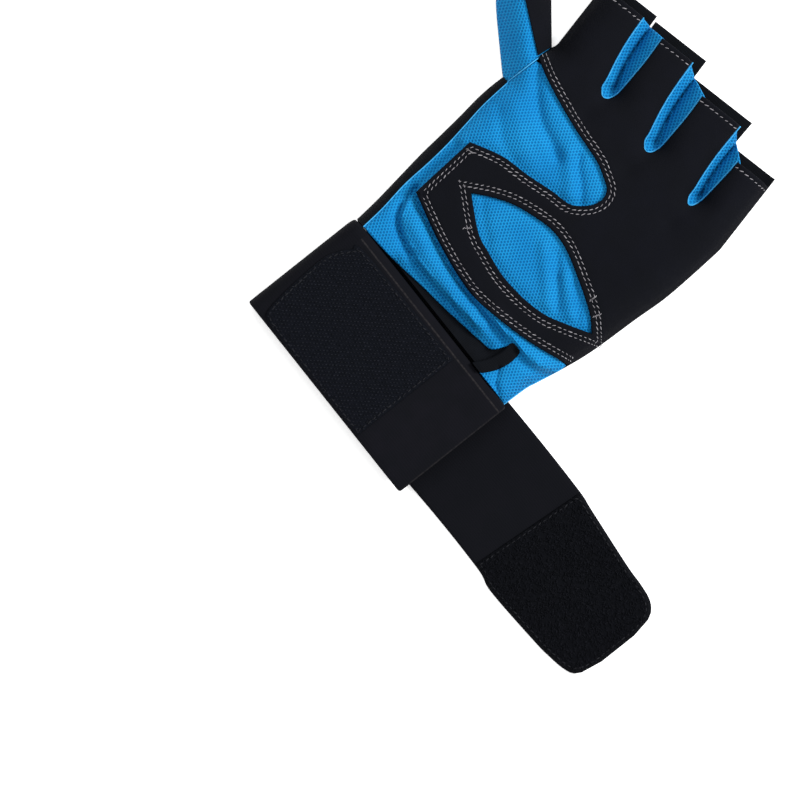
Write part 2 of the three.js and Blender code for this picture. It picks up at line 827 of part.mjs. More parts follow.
function wristStrap() {
  const middle = bandHeight / 2;
  const arc = (fold, rise) => Array.from({ length: foldSteps + 1 }, (_, i) => {
    const angle = Math.PI / 2 + (Math.PI * i) / foldSteps;
    return new THREE.Vector2(bandLeft + bandFold + fold * Math.cos(angle), middle + rise * Math.sin(angle));
  });
  const section = [
    new THREE.Vector2(bandRight, bandHeight),
    ...arc(bandFold, middle),
    new THREE.Vector2(tailEnd, 0),
    new THREE.Vector2(tailEnd, webbingThickness),
    ...arc(bandFold - webbingThickness, middle - webbingThickness).reverse(),
    new THREE.Vector2(bandRight, bandHeight - webbingThickness),
  ];
  const spread = bandEdge * spare;
  const whole = alongHand(section.reverse(), [], -spread, spread);
  const upperShape = roundedCornerBox(
    bandLeft * spare,
    bandRight,
    lowerLayer[0].lower * webbingWidth,
    lowerLayer[0].upper * webbingWidth,
    bandCorner,
  );
  const upper = prism(upperShape, [], middle, prismTop);
  const lower = prism([...strapEdge("lower"), ...strapEdge("upper").reverse()], [], prismFloor, middle);
  return whole.intersect(upper.add(lower));
}

// Hook and loop tapes lie on the strap's layers.
function loopPatch() {
  const outline = loopTapeOutline.map((row) => new THREE.Vector2(
    loopTapeEnd - row.back * loopTapeLength,
    loopTapeShift + row.side * loopTapeWidth,
  ));
  const base = bandHeight + seamGap;
  return prism(outline, [], base, base + loopTapeThickness);
}

function hookPatch() {
  const start = 1 - hookTapeLength / tailLength;
  const rows = lowerLayer.filter((row) => row.tail > start);
  const edge = (column, inset) => rows.map((row) => new THREE.Vector2(
    bandRight + row.tail * tailLength - hookTapeInset,
    row[column] * webbingWidth + inset,
  ));
  const startX = bandRight + start * tailLength;
  const slant = hookSlant * hookTapeLength;
  const outline = [
    new THREE.Vector2(startX - slant / 2, between(lowerLayer, "tail", start, "lower") * webbingWidth + hookTapeInset),
    ...edge("lower", hookTapeInset),
    ...edge("upper", -hookTapeInset).reverse(),
    new THREE.Vector2(startX + slant / 2, between(lowerLayer, "tail", start, "upper") * webbingWidth - hookTapeInset),
  ];
  const base = webbingThickness + seamGap;
  return prism(outline, [], base, base + hookTapeThickness);
}

// Binding tape on the right side of the slit.
const bindingWidth = 6;
function slitBinding() {
  const line = palmCurve(bindingLine, bindingSteps);
  const shifted = (by) => line.map((point) => new THREE.Vector2(point.x + by, point.y));
  const outline = [...shifted(bindingWidth / 2), ...shifted(-bindingWidth / 2).reverse()];
  return clothLayer(outline, [], layerHeight(suedeBase), layerHeight(suedeBase + bindingWall));
}

// Colours of the cloths.
const cloth = (color, roughness) => new THREE.MeshStandardMaterial({ color, roughness, metalness: 0 });
const blueMesh = cloth(0x1487cc, 0.7);
const blackSuede = cloth(0x1b1d25, 0.95);
const blackStretch = cloth(0x17181c, 0.85);
const blackElastic = cloth(0x1c1c20, 0.8);
const loopTape = cloth(0x12141e, 0.95);
const hookTape = cloth(0x0e0f14, 0.9);

const pieces = [
  ["wrist_strap", wristStrap(), blackElastic],
  ["loop_patch", loopPatch(), loopTape],
  ["hook_patch", hookPatch(), hookTape],
  ["cuff", cuff(), blackStretch],
  ["back_panel", backPanel(), blackStretch],
  ["palm_mesh", clothLayer(palmMeshOutline, [], layerHeight(0), layerHeight(meshWall)), blueMesh],
  ["palm_suede", clothLayer(suedeOutline, [lensHole], suedeHeight(0), suedeHeight(suedeWall)), blackSuede],
  ["thumb_mesh", clothLayer(thumbOutline, [], layerHeight(0), layerHeight(meshWall)), blueMesh],
  [
    "thumb_suede",
    clothLayer(thumbSuedeOutline, [], layerHeight(suedeBase), layerHeight(suedeBase + suedeWall)),
    blackSuede,
  ],
  ...gaps.map((gap, i) => [
    `fourchette_${gap.name}`,
    clothLayer(fourchetteOutline(i), [], layerHeight(0), layerHeight(meshWall)),
    blueMesh,
  ]),
  ["slit_binding", slitBinding(), blackStretch],
];

const glove = new THREE.Group();
for (const [name, solid, material] of pieces) {
  const mesh = new THREE.Mesh(toGeometry(solid), material);
  mesh.name = name;
  glove.add(mesh);
}

export default glove;
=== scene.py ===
"""A left-hand weightlifting glove lying palm up with its strap open, dressed round its solids."""

import logging
import math
from collections.abc import Callable
from dataclasses import dataclass, field
from enum import Enum

import bmesh
import bpy
import numpy as np
from mathutils import Matrix, Vector
from mathutils.geometry import delaunay_2d_cdt

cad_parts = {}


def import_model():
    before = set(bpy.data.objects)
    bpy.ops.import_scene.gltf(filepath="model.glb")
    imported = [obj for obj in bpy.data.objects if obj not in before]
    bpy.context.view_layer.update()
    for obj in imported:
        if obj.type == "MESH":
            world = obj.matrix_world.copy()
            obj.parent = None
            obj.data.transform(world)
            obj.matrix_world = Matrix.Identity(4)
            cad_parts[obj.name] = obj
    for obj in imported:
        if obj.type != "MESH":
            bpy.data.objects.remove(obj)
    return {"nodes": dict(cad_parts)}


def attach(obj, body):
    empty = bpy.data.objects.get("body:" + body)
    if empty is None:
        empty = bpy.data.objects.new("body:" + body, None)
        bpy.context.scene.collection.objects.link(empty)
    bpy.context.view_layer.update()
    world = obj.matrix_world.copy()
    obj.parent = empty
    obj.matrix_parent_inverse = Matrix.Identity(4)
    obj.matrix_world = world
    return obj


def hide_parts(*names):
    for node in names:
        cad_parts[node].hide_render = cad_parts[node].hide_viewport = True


LOG = logging.getLogger("glove")
METRES = 0.001
BODY = "root"
CLOTH_MAP = "cloth"
# Millimetres: steps along drawn paths, a cloth's rounded rim and the gap between sewn layers.
STEP = 1.0
FINE_STEP = 0.8
RIM_ROUNDING = 0.6
LAYER_GAP = 0.05
# Share of its thickness that a cloth's rim loses by its rounding.
RIM_DROP = 0.62
# Lengths and squares of lengths that count as nothing.
TINY = 1e-9
TINY_SQUARE = 1e-12

HeightAt = Callable[[np.ndarray], np.ndarray]

# Rows of side (share of half the palm's width) and along (share of the palm's length).
LEFT_OUTLINE = (
    (-0.884, 0.0), (-0.904, 0.1), (-0.937, 0.22), (-0.969, 0.336), (-0.988, 0.433),
    (-1.008, 0.53), (-1.033, 0.627), (-1.041, 0.695), (-1.039, 0.75),
)
RIGHT_OUTLINE = (
    (0.878, 0.0), (0.885, 0.1), (0.9, 0.142), (0.943, 0.258), (0.975, 0.384),
    (0.99, 0.579), (1.004, 0.705), (0.994, 0.841), (0.975, 0.98),
)
THUMB_SIDE_SEAM = (
    (-0.812, 0.0), (-0.831, 0.1), (-0.869, 0.22), (-0.884, 0.336), (-0.904, 0.433),
    (-0.935, 0.53), (-0.967, 0.627), (-0.986, 0.75),
)
WRIST_BORDER = (
    (-0.812, 0.0), (-0.576, 0.006), (-0.386, 0.018), (-0.194, 0.033), (0.049, 0.048),
    (0.245, 0.064), (0.404, 0.077), (0.5, 0.09), (0.549, 0.14),
)
BINDING_LINE = ((0.53, 0.0), (0.586, 0.055), (0.608, 0.11), (0.6, 0.155))
SUEDE_LOWER_BORDER = (
    (-0.767, 0.231), (-0.365, 0.182), (0.041, 0.157), (0.333, 0.177), (0.643, 0.218),
    (0.943, 0.276),
)
BAY_BORDER = (
    (-0.808, 0.502), (-0.573, 0.563), (-0.353, 0.592), (-0.143, 0.626), (0.004, 0.645),
    (0.075, 0.675), (0.124, 0.714), (0.135, 0.756), (0.098, 0.788), (0.025, 0.804),
    (-0.114, 0.824), (-0.333, 0.833), (-0.563, 0.847), (-0.818, 0.87), (-0.985, 0.895),
)
LENS_UPPER = (
    (-0.504, 0.388), (-0.382, 0.439), (-0.229, 0.487), (0.0, 0.528), (0.147, 0.538),
    (0.286, 0.53), (0.45, 0.506), (0.614, 0.479), (0.76, 0.449), (0.867, 0.414),
)
LENS_LOWER = (
    (0.867, 0.414), (0.682, 0.359), (0.533, 0.321), (0.343, 0.298), (0.118, 0.29),
    (-0.078, 0.302), (-0.245, 0.319), (-0.504, 0.388),
)
# Rows of out (share of the stub's length) and, in finger pitches, the suede's left and right
# edges and the crease where the side walls meet.
GAP_SHAPE = (
    (-0.03, -0.05, 0.0, 0.02), (0.0, -0.1, 0.045, 0.02), (0.05, -0.155, 0.07, 0.01),
    (0.16, -0.2, 0.08, -0.01), (0.4, -0.33, 0.03, -0.16), (0.72, -0.47, -0.05, -0.3),
    (1.3, -0.66, -0.24, -0.48),
)
# Rows of along, crown height (share of the cuff's top) and edge roll (share of the palm).
CROWN_SECTIONS = (
    (0.0, 1.0, 0.07), (0.12, 1.0, 0.08), (0.35, 1.06, 0.12), (0.7, 1.1, 0.14),
    (1.0, 1.0, 0.12), (1.4, 0.86, 0.1),
)
# Rows of place along the band (share of its length), along the tail (share of its length)
# and the strap's upper and lower edges (share of the webbing's width).
LOWER_LAYER = (
    (-0.6, 0.0, 0.49, -0.512), (-0.4, 0.0, 0.49, -0.51), (0.5, 0.0, 0.545, -0.42),
    (0.5, 0.407, 0.549, -0.41), (0.5, 0.52, 0.53, -0.44), (0.5, 0.772, 0.481, -0.417),
    (0.5, 0.856, 0.474, -0.4), (0.5, 0.927, 0.455, -0.374), (0.5, 0.972, 0.4, -0.33),
    (0.5, 0.994, 0.3, -0.23), (0.5, 1.0, 0.2, -0.12),
)
# Rows of back (share of the loop tape's length from its straight end) and side (share of width).
LOOP_TAPE_OUTLINE = (
    (0.0, -0.5), (0.0, 0.5), (0.85, 0.48), (0.93, 0.41), (0.985, 0.28), (1.0, 0.14),
    (0.985, -0.2), (0.96, -0.42), (0.92, -0.485), (0.8, -0.5),
)


class Finger(Enum):
    """The four finger stubs: place in finger pitches from the middle, and reach in stub lengths."""

    INDEX = (-1.5, 0.98)
    MIDDLE = (-0.5, 1.12)
    RING = (0.5, 1.06)
    LITTLE = (1.5, 0.88)


class Gap(Enum):
    """The gaps between fingers: place in pitches, lean factor, and the fingers on each side."""

    INDEX_MIDDLE = (-1.0, 1.0, Finger.INDEX, Finger.MIDDLE)
    MIDDLE_RING = (0.0, 1.0, Finger.MIDDLE, Finger.RING)
    RING_LITTLE = (1.0, 0.75, Finger.RING, Finger.LITTLE)


class Layer(Enum):
    """Cloth layers by what lies under them, in walls of mesh and clearance."""

    LINING = 0
    OVERLAY = 1


@dataclass(frozen=True)
class Fold:
    """One crease or ridge of the cloth.

    Attributes:
        depth: height in shares of the band's height, negative for a crease.
        spread: half width in shares of the palm's length.
        path: rows of side and along.
        steep: share of the spread on the left of the path's direction.
    """

    depth: float
    spread: float
    path: tuple
    steep: float = 1.0


FOLDS = (
    Fold(-0.24, 0.024, (
        (-0.79, 0.24), (-0.76, 0.17), (-0.7, 0.125), (-0.6, 0.095), (-0.45, 0.078),
        (-0.3, 0.07), (0.0, 0.076), (0.3, 0.09),
    ), 0.35),
    Fold(0.12, 0.03, ((-0.6, 0.15), (-0.3, 0.118), (0.0, 0.113), (0.3, 0.118))),
    Fold(-0.2, 0.026, (
        (-0.83, 0.46), (-0.81, 0.33), (-0.78, 0.235), (-0.6, 0.208), (-0.365, 0.18),
        (-0.1, 0.157), (0.1, 0.152), (0.3, 0.152), (0.5, 0.15),
    ), 0.3),
    Fold(0.15, 0.008, (
        (0.3, 0.166), (0.5, 0.176), (0.68, 0.182), (0.8, 0.188), (0.9, 0.215), (0.97, 0.25),
    ), 4.5),
    Fold(-0.1, 0.022, ((0.62, 0.155), (0.8, 0.163), (0.93, 0.2)), 0.6),
    Fold(-0.11, 0.013, ((0.64, 0.07), (0.7, 0.03), (0.78, 0.005), (0.86, -0.02))),
    Fold(-0.22, 0.03, (
        (-0.45, 0.015), (-0.194, 0.033), (0.049, 0.048), (0.245, 0.064), (0.45, 0.085),
    )),
    Fold(-0.16, 0.026, (
        (-0.9, 0.86), (-0.85, 0.835), (-0.725, 0.787), (-0.58, 0.752), (-0.42, 0.735),
        (-0.31, 0.722),
    )),
    Fold(0.09, 0.026, ((-0.3, 0.765), (-0.2, 0.73), (-0.1, 0.695), (-0.05, 0.67))),
    Fold(-0.12, 0.02, (
        (-0.22, 0.785), (-0.16, 0.752), (-0.08, 0.733), (0.035, 0.694), (0.06, 0.68),
    )),
    Fold(0.05, 0.03, ((-0.82, 0.72), (-0.6, 0.66), (-0.4, 0.64))),
    Fold(-0.05, 0.022, ((-0.86, 0.66), (-0.66, 0.6), (-0.5, 0.59))),
    Fold(0.07, 0.02, ((0.137, 0.474), (0.3, 0.42), (0.49, 0.355))),
    Fold(-0.08, 0.016, ((0.24, 0.5), (0.4, 0.44), (0.57, 0.37))),
    Fold(0.07, 0.018, ((0.4, 0.472), (0.55, 0.43), (0.66, 0.396))),
    Fold(-0.06, 0.016, ((0.5, 0.48), (0.62, 0.45), (0.72, 0.41))),
    Fold(-0.06, 0.02, ((-0.4, 0.4), (-0.28, 0.36), (-0.15, 0.33))),
)


@dataclass(frozen=True)
class GloveSizes:
    """Real sizes of the glove, in millimetres."""

    palm_length: float = 102.6
    palm_width: float = 102.0
    mesh_wall: float = 1.0
    suede_wall: float = 1.0
    back_wall: float = 1.2
    cuff_wall: float = 1.2
    seam_gap: float = 0.3
    palm_clearance: float = 0.1
    webbing_width: float = 50.8
    webbing_thickness: float = 2.0
    band_length: float = 92.0
    band_height: float = 14.5
    band_fold: float = 5.0
    band_corner: float = 1.2
    tail_length: float = 98.2
    tape_thickness: float = 1.4
    loop_tape_length: float = 60.8
    loop_tape_width: float = 46.4
    loop_tape_end: float = 19.4
    loop_tape_shift: float = -2.0
    hook_tape_length: float = 56.5
    hook_tape_inset: float = 0.6
    finger_pitch: float = 26.0
    stub_length: float = 30.0
    finger_lean: float = math.radians(13.5)
    back_overhang: float = 4.0
    thumb_length: float = 21.0
    thumb_width: float = 21.0
    thumb_lean: float = math.radians(52)

    @property
    def band_edge(self) -> float:
        """Distance of the band's edges from its middle."""
        return self.webbing_width / 2

    @property
    def palm_start(self) -> float:
        """Where the palm begins, just clear of the strap."""
        return self.band_edge + self.seam_gap + self.palm_clearance

    @property
    def finger_root(self) -> float:
        """Where the finger gaps begin."""
        return self.palm_start + self.palm_length

    @property
    def half_palm(self) -> float:
        """Half the palm's width."""
        return self.palm_width / 2

    @property
    def strap_stack(self) -> float:
        """Height of the strap's lower layer with its clearance."""
        return self.webbing_thickness + self.seam_gap

    @property
    def cuff_top(self) -> float:
        """Height of the cuff's upper face."""
        return self.band_height - self.webbing_thickness - self.seam_gap

    @property
    def tape_ground(self) -> float:
        """Thickness of a tape's ground cloth, without its pile."""
        return self.tape_thickness * 0.7

    @property
    def second_layer(self) -> float:
        """Height of a second layer's underside over the mesh's underside."""
        return self.mesh_wall + LAYER_GAP


def smooth_path(points: np.ndarray, steps: int) -> np.ndarray:
    """Draws a Catmull-Rom curve through points.

    Args:
        points: rows of coordinates that the curve passes through.
        steps: number of pieces of the result.

    Returns:
        The curve's points, steps + 1 rows.
    """
    points = np.asarray(points, float)
    last = len(points) - 1
    places = np.linspace(0, last, steps + 1)
    low = np.clip(places.astype(int), 0, last - 1)
    t = (places - low)[:, None]
    before = points[np.clip(low - 1, 0, last)]
    start = points[low]
    end = points[low + 1]
    after = points[np.clip(low + 2, 0, last)]
    leave = (end - before) / 2
    arrive = (after - start) / 2
    return (
        (2 * start - 2 * end + leave + arrive) * t**3
        + (3 * end - 3 * start - 2 * leave - arrive) * t**2
        + leave * t
        + start
    )


def even_path(path: np.ndarray, spacing: float) -> np.ndarray:
    """Walks along a polyline in even steps, keeping its ends.

    Args:
        path: rows of coordinates.
        spacing: wanted distance between points.

    Returns:
        The evenly spaced points.
    """
    steps = np.hypot(*np.diff(path[:, :2], axis=0).T)
    travelled = np.concatenate([[0.0], np.cumsum(steps)])
    count = max(1, round(travelled[-1] / spacing))
    wanted = np.linspace(0, travelled[-1], count + 1)
    return np.stack([np.interp(wanted, travelled, column) for column in path.T], axis=1)


def path_distance(points: np.ndarray, path: np.ndarray) -> tuple[np.ndarray, np.ndarray]:
    """Measures how far points lie from a polyline.

    Args:
        points: rows of x and y.
        path: the polyline's points.

    Returns:
        The distances, and sides from 1 on the path's left to -1 on its right, which turn
        smoothly from one to the other past its ends.
    """
    least = np.full(len(points), np.inf)
    side = np.ones(len(points))
    for start, end in zip(path[:-1], path[1:]):
        span = end - start
        square = float(span @ span)
        if square < TINY_SQUARE:
            continue
        away = points - start
        share = np.clip(away @ span / square, 0, 1)
        offset = away - share[:, None] * span
        distance = np.hypot(offset[:, 0], offset[:, 1])
        closer = distance < least
        least[closer] = distance[closer]
        cross = span[0] * away[:, 1] - span[1] * away[:, 0]
        turn = cross / (np.maximum(distance, TINY) * math.sqrt(square))
        side[closer] = np.clip(turn[closer], -1, 1)
    return least, side


def inside_ring(points: np.ndarray, ring: np.ndarray) -> np.ndarray:
    """Says which points lie inside a closed outline.

    Args:
        points: rows of x and y.
        ring: the outline's points.

    Returns:
        One truth value for each point.
    """
    inside = np.zeros(len(points), bool)
    x, y = points.T
    for (ax, ay), (bx, by) in zip(ring, np.roll(ring, -1, axis=0)):
        if ay == by:
            continue
        inside ^= ((ay > y) != (by > y)) & (x < ax + (bx - ax) * (y - ay) / (by - ay))
    return inside


def nearest(points: np.ndarray, paths: list) -> np.ndarray:
    """Distances of points from the nearest of some paths."""
    return np.min([path_distance(points, path)[0] for path in paths], axis=0)


def ease(value: np.ndarray, low: float, high: float) -> np.ndarray:
    """Rises smoothly from 0 at low to 1 at high."""
    share = np.clip((value - low) / (high - low), 0, 1)
    return share * share * (3 - 2 * share)


def bell(away: np.ndarray, width: float) -> np.ndarray:
    """Falls from 1 on a line to nearly nothing two widths away from it."""
    return np.exp(-((away / width) ** 2))


def rim_drop(near: np.ndarray, rounding: float = RIM_ROUNDING) -> np.ndarray:
    """Share of its thickness that a cloth loses at distances from its edge."""
    turn = 1 - np.clip(near / rounding, 0, 1)
    return RIM_DROP * (1 - np.sqrt(1 - turn**2))


def closed_path(ring: np.ndarray) -> np.ndarray:
    """An outline with its first point added at its end."""
    return np.vstack([ring, ring[:1]])


def ring_area(ring: np.ndarray) -> float:
    """Area inside a closed outline, positive when it runs anticlockwise."""
    x, y = ring.T
    return 0.5 * float(np.sum(x * np.roll(y, -1) - np.roll(x, -1) * y))


def unit_rows(rows: np.ndarray) -> np.ndarray:
    """Directions in the plane at length one."""
    return rows / np.maximum(np.hypot(rows[:, 0], rows[:, 1]), TINY)[:, None]


def left_of(way: np.ndarray) -> np.ndarray:
    """Directions turned a quarter to the left."""
    return np.stack([-way[:, 1], way[:, 0]], axis=1)


def flat_rows(*columns) -> np.ndarray:
    """Rows made of columns, of which a single number is repeated."""
    return np.column_stack(np.broadcast_arrays(*columns))


def line_edges(paths: list, closed: bool = False) -> list:
    """Joins the points of each path, numbered one path after another.

    Args:
        paths: the paths.
        closed: whether each path's last point is joined to its first.

    Returns:
        Pairs of point numbers.
    """
    edges = []
    start = 0
    for path in paths:
        count = len(path)
        joined = range(count if closed else count - 1)
        edges.extend((start + i, start + (i + 1) % count) for i in joined)
        start += count
    return edges


def clip_path(path: np.ndarray, end: np.ndarray, direction: np.ndarray) -> np.ndarray:
    """Keeps the part of a path that lies before an end line.

    Args:
        path: rows of x and y.
        end: a point on the end line.
        direction: the way out across the end line.

    Returns:
        The path up to the line.
    """
    ahead = (path - end) @ direction
    beyond = np.nonzero(ahead > 0)[0]
    if len(beyond) == 0:
        return path
    i = beyond[0]
    share = ahead[i - 1] / (ahead[i - 1] - ahead[i])
    return np.vstack([path[:i], path[i - 1] + share * (path[i] - path[i - 1])])


def stretched(path: np.ndarray, reach: float) -> np.ndarray:
    """Lengthens a path straight on at both ends.

    Args:
        path: rows of x and y.
        reach: how far it runs on.

    Returns:
        The longer path.
    """
    first = path[0] - path[1]
    last = path[-1] - path[-2]
    return np.vstack([
        path[0] + first * (reach / np.hypot(*first)),
        path,
        path[-1] + last * (reach / np.hypot(*last)),
    ])


def crossing(first: np.ndarray, second: np.ndarray) -> tuple[int, int, np.ndarray] | None:
    """Finds where the end of one path crosses the start of the next.

    Args:
        first: the path that ends at the corner.
        second: the path that starts there.

    Returns:
        The pieces' numbers and the point, or nothing when the paths stay apart.
    """
    for i in range(len(first) - 2, -1, -1):
        way = first[i + 1] - first[i]
        for j in range(len(second) - 1):
            other = second[j + 1] - second[j]
            cross = way[0] * other[1] - way[1] * other[0]
            if abs(cross) < TINY:
                continue
            gap = second[j] - first[i]
            along_first = (gap[0] * other[1] - gap[1] * other[0]) / cross
            along_second = (gap[0] * way[1] - gap[1] * way[0]) / cross
            if 0 <= along_first <= 1 and 0 <= along_second <= 1:
                return i, j, first[i] + along_first * way
    return None


def mitred(curves: list, distance: float, closed: bool) -> np.ndarray:
    """Moves a run of curves sideways and lets their ends meet in sharp corners.

    Args:
        curves: paths that follow each other.
        distance: how far to the left.
        closed: whether the last curve meets the first.

    Returns:
        The moved run.
    """
    overshoot = abs(distance) * 1.6
    moved = [stretched(offset_path(curve, distance), overshoot) for curve in curves]
    count = len(moved)
    for i in range(count if closed else count - 1):
        following = (i + 1) % count
        found = crossing(moved[i], moved[following])
        if found is None:
            continue
        here, there, point = found
        moved[i] = np.vstack([moved[i][:here + 1], point])
        moved[following] = np.vstack([point, moved[following][there + 1:]])
    if not closed:
        moved[0] = moved[0][1:]
        moved[-1] = moved[-1][:-1]
    return np.vstack([even_path(curve, FINE_STEP) for curve in moved])


def offset_path(path: np.ndarray, distance: float) -> np.ndarray:
    """Moves a polyline to its left by a distance, with mitred corners.

    Args:
        path: rows of x and y.
        distance: how far to the left.

    Returns:
        The moved path, without the loops that tight bends would leave.
    """
    sharpest = 0.25
    slack = 0.97
    normal = left_of(unit_rows(np.diff(path, axis=0)))
    joint = unit_rows(np.vstack([normal[:1], normal[:-1] + normal[1:], normal[-1:]]))
    facing = np.vstack([normal[:1], normal[1:], normal[-1:]])
    reach = 1 / np.maximum((joint * facing).sum(axis=1), sharpest)
    moved = path + joint * (distance * reach)[:, None]
    away, _ = path_distance(moved, path)
    return moved[away > abs(distance) * slack]


class GloveForm:
    """The glove's outlines and the heights of its cloth, worked out from its sizes.

    Attributes:
        middle_gap: place across the hand of the middle finger gap, in finger pitches.
        crease_start: where the side walls' crease begins, in stub lengths.
        finger_reach: length of the fingers' outer edges before they are cut, in stub lengths.
        index_corner: side share of the index finger's corner, and its drop in palm lengths.
        crotch_corner: the same for the thumb's crotch.
        ramp: shares along the palm between which the back comes down off the strap.
        root_valley: depth (in band heights), spread and ends along of the finger roots' valleys.
        edge_fade: how far from the outer edges the suede lies down into the mesh's place.
        open_side: share along the palm up to which the mesh reaches the little-finger edge.
        pucker_fade: distances from the outer edges over which that begins.
    """

    middle_gap = 0.12
    crease_start = 0.16
    finger_reach = 1.4
    index_corner = (-0.975, 0.02)
    crotch_corner = (-0.985, 0.04)
    mouth_reach = 3.0
    ramp = (0.03, 0.12)
    rim_rise = 1.2
    rim_width = 6.0
    cloth_clearance = 0.1
    roll_power = 2.2
    steepest_lift = 1.7
    root_valley = (-0.12, 0.045, 0.9, 1.0)
    edge_fade = 3.1
    open_side = 0.262
    bay_steps = 140
    pucker_depth = 0.8
    pucker_width = 2.0
    pucker_fade = (0.5, 5.0)

    def __init__(self, sizes: GloveSizes) -> None:
        """Works out the outlines.

        Args:
            sizes: the glove's real sizes.
        """
        self.sizes = sizes
        self.outward = np.array([-math.sin(sizes.finger_lean), math.cos(sizes.finger_lean)])
        self.left_edge = self.palm_curve(LEFT_OUTLINE)
        self.right_edge = self.palm_curve(RIGHT_OUTLINE)
        reach = sizes.stub_length * self.finger_reach
        little_root = self.on_palm([RIGHT_OUTLINE[-1]])[0]
        index_root = self.below_roots(*self.index_corner)
        self.little_edge = np.array([little_root, little_root + self.outward * reach])
        self.index_edge = np.array([index_root, index_root + self.outward * reach])
        self._place_thumb()
        self.side_paths = [
            np.vstack([self.left_edge, self.thumb_lower[1:]]),
            np.vstack([[self.thumb_end, self.thumb_crotch], self.index_edge]),
            np.vstack([self.right_edge, self.little_edge[1:]]),
        ]
        self.outer_paths = self.side_paths[1:]
        self.crease_paths = [self.crease_path(gap) for gap in Gap]
        past_mouth = self.thumb_out * self.mouth_reach
        self.outline_ring = np.vstack([
            self.left_edge,
            self.thumb_lower[1:],
            [self.thumb_lower[-1] + past_mouth, self.thumb_end + past_mouth],
            [self.thumb_end, self.thumb_crotch],
            self.index_edge,
            self.little_edge[::-1],
            self.right_edge[::-1],
        ])
        self._fold_paths = [self.palm_curve(fold.path, 12) for fold in FOLDS]

    def _place_thumb(self) -> None:
        """Sets the thumb stub's root, crotch, end and sides."""
        sizes = self.sizes
        root_run = 0.2
        root_sag = 0.5
        end_run = 0.35
        self.thumb_out = np.array([-math.sin(sizes.thumb_lean), math.cos(sizes.thumb_lean)])
        self.thumb_up = np.array([math.cos(sizes.thumb_lean), math.sin(sizes.thumb_lean)])
        self.thumb_crotch = self.below_roots(*self.crotch_corner)
        root = self.on_palm([LEFT_OUTLINE[-1]])[0]
        self.thumb_end = self.thumb_crotch + self.thumb_out * sizes.thumb_length
        lower_end = self.thumb_end - self.thumb_up * sizes.thumb_width
        self.thumb_lower = smooth_path([
            root,
            root + self.thumb_out * sizes.thumb_length * root_run - self.thumb_up * root_sag,
            lower_end - self.thumb_out * sizes.thumb_length * end_run,
            lower_end,
        ], 24)

    def below_roots(self, side: float, drop: float) -> np.ndarray:
        """A point at a side share and some palm lengths below the finger roots."""
        sizes = self.sizes
        return np.array([side * sizes.half_palm, sizes.finger_root - drop * sizes.palm_length])

    def on_palm(self, rows: tuple) -> np.ndarray:
        """Turns rows of side and along shares into points on the glove.

        Args:
            rows: pairs of shares.

        Returns:
            Rows of x and y.
        """
        rows = np.asarray(rows, float)
        x = rows[:, 0] * self.sizes.half_palm
        y = self.sizes.palm_start + rows[:, 1] * self.sizes.palm_length
        return np.stack([x, y], axis=1)

    def palm_curve(self, rows: tuple, steps: int = 60) -> np.ndarray:
        """Draws a smooth path through rows of side and along shares."""
        return smooth_path(self.on_palm(rows), steps)

    def along(self, points: np.ndarray) -> np.ndarray:
        """Share of the palm's length at which points lie."""
        return (points[:, 1] - self.sizes.palm_start) / self.sizes.palm_length

    def across(self, pitches: float) -> float:
        """Place across the hand of a number of finger pitches from the middle."""
        return (self.middle_gap + pitches) * self.sizes.finger_pitch

    def gap_path(self, gap: Gap, column: int, shift: float = 0.0) -> np.ndarray:
        """Path along a finger gap.

        Args:
            gap: which gap.
            column: 1 for the suede's left edge, 2 for its right edge, 3 for the crease.
            shift: extra distance to the right.

        Returns:
            The path from the gap's root outward.
        """
        place, lean = gap.value[:2]
        sizes = self.sizes
        rows = np.array(GAP_SHAPE)
        x = self.across(place) + rows[:, column] * sizes.finger_pitch * lean + shift
        y = sizes.finger_root + rows[:, 0] * sizes.stub_length
        return smooth_path(np.stack([x, y], axis=1), 50)

    def crease_path(self, gap: Gap) -> np.ndarray:
        """Path of the crease where two side walls meet."""
        path = self.gap_path(gap, 3)
        return path[path[:, 1] >= self.sizes.finger_root + self.crease_start * self.sizes.stub_length]

    def finger_end(self, finger: Finger, extra: float = 0.0) -> np.ndarray:
        """A point on a finger's end line.

        Args:
            finger: which finger.
            extra: distance past the palm side's end.

        Returns:
            The point on the finger's middle line.
        """
        place, reach = finger.value
        foot = np.array([self.across(place), self.sizes.finger_root])
        return foot + self.outward * (reach * self.sizes.stub_length + extra)

    def to_end(self, path: np.ndarray, finger: Finger, extra: float = 0.0) -> np.ndarray:
        """The part of a path up to a finger's end line, or to a distance past it."""
        return clip_path(path, self.finger_end(finger, extra), self.outward)

    def lens(self) -> np.ndarray:
        """The lens cutout's outline."""
        return np.vstack([self.palm_curve(LENS_UPPER), self.palm_curve(LENS_LOWER)[1:-1]])

    def back_underside(self, along: np.ndarray) -> np.ndarray:
        """Height of the back panel's underside, which rises over the strap at the wrist."""
        return self.sizes.strap_stack * (1 - ease(along, *self.ramp))

    def rim(self, near: np.ndarray) -> np.ndarray:
        """How far the back panel's rim turns up at distances from the side seams."""
        return self.rim_rise * (1 - np.clip(near / self.rim_width, 0, 1)) ** 2

    def back_face(self, points: np.ndarray) -> np.ndarray:
        """Height of the back's outer face, which lies below."""
        return self.back_underside(self.along(points)) + self.rim(nearest(points, self.side_paths))

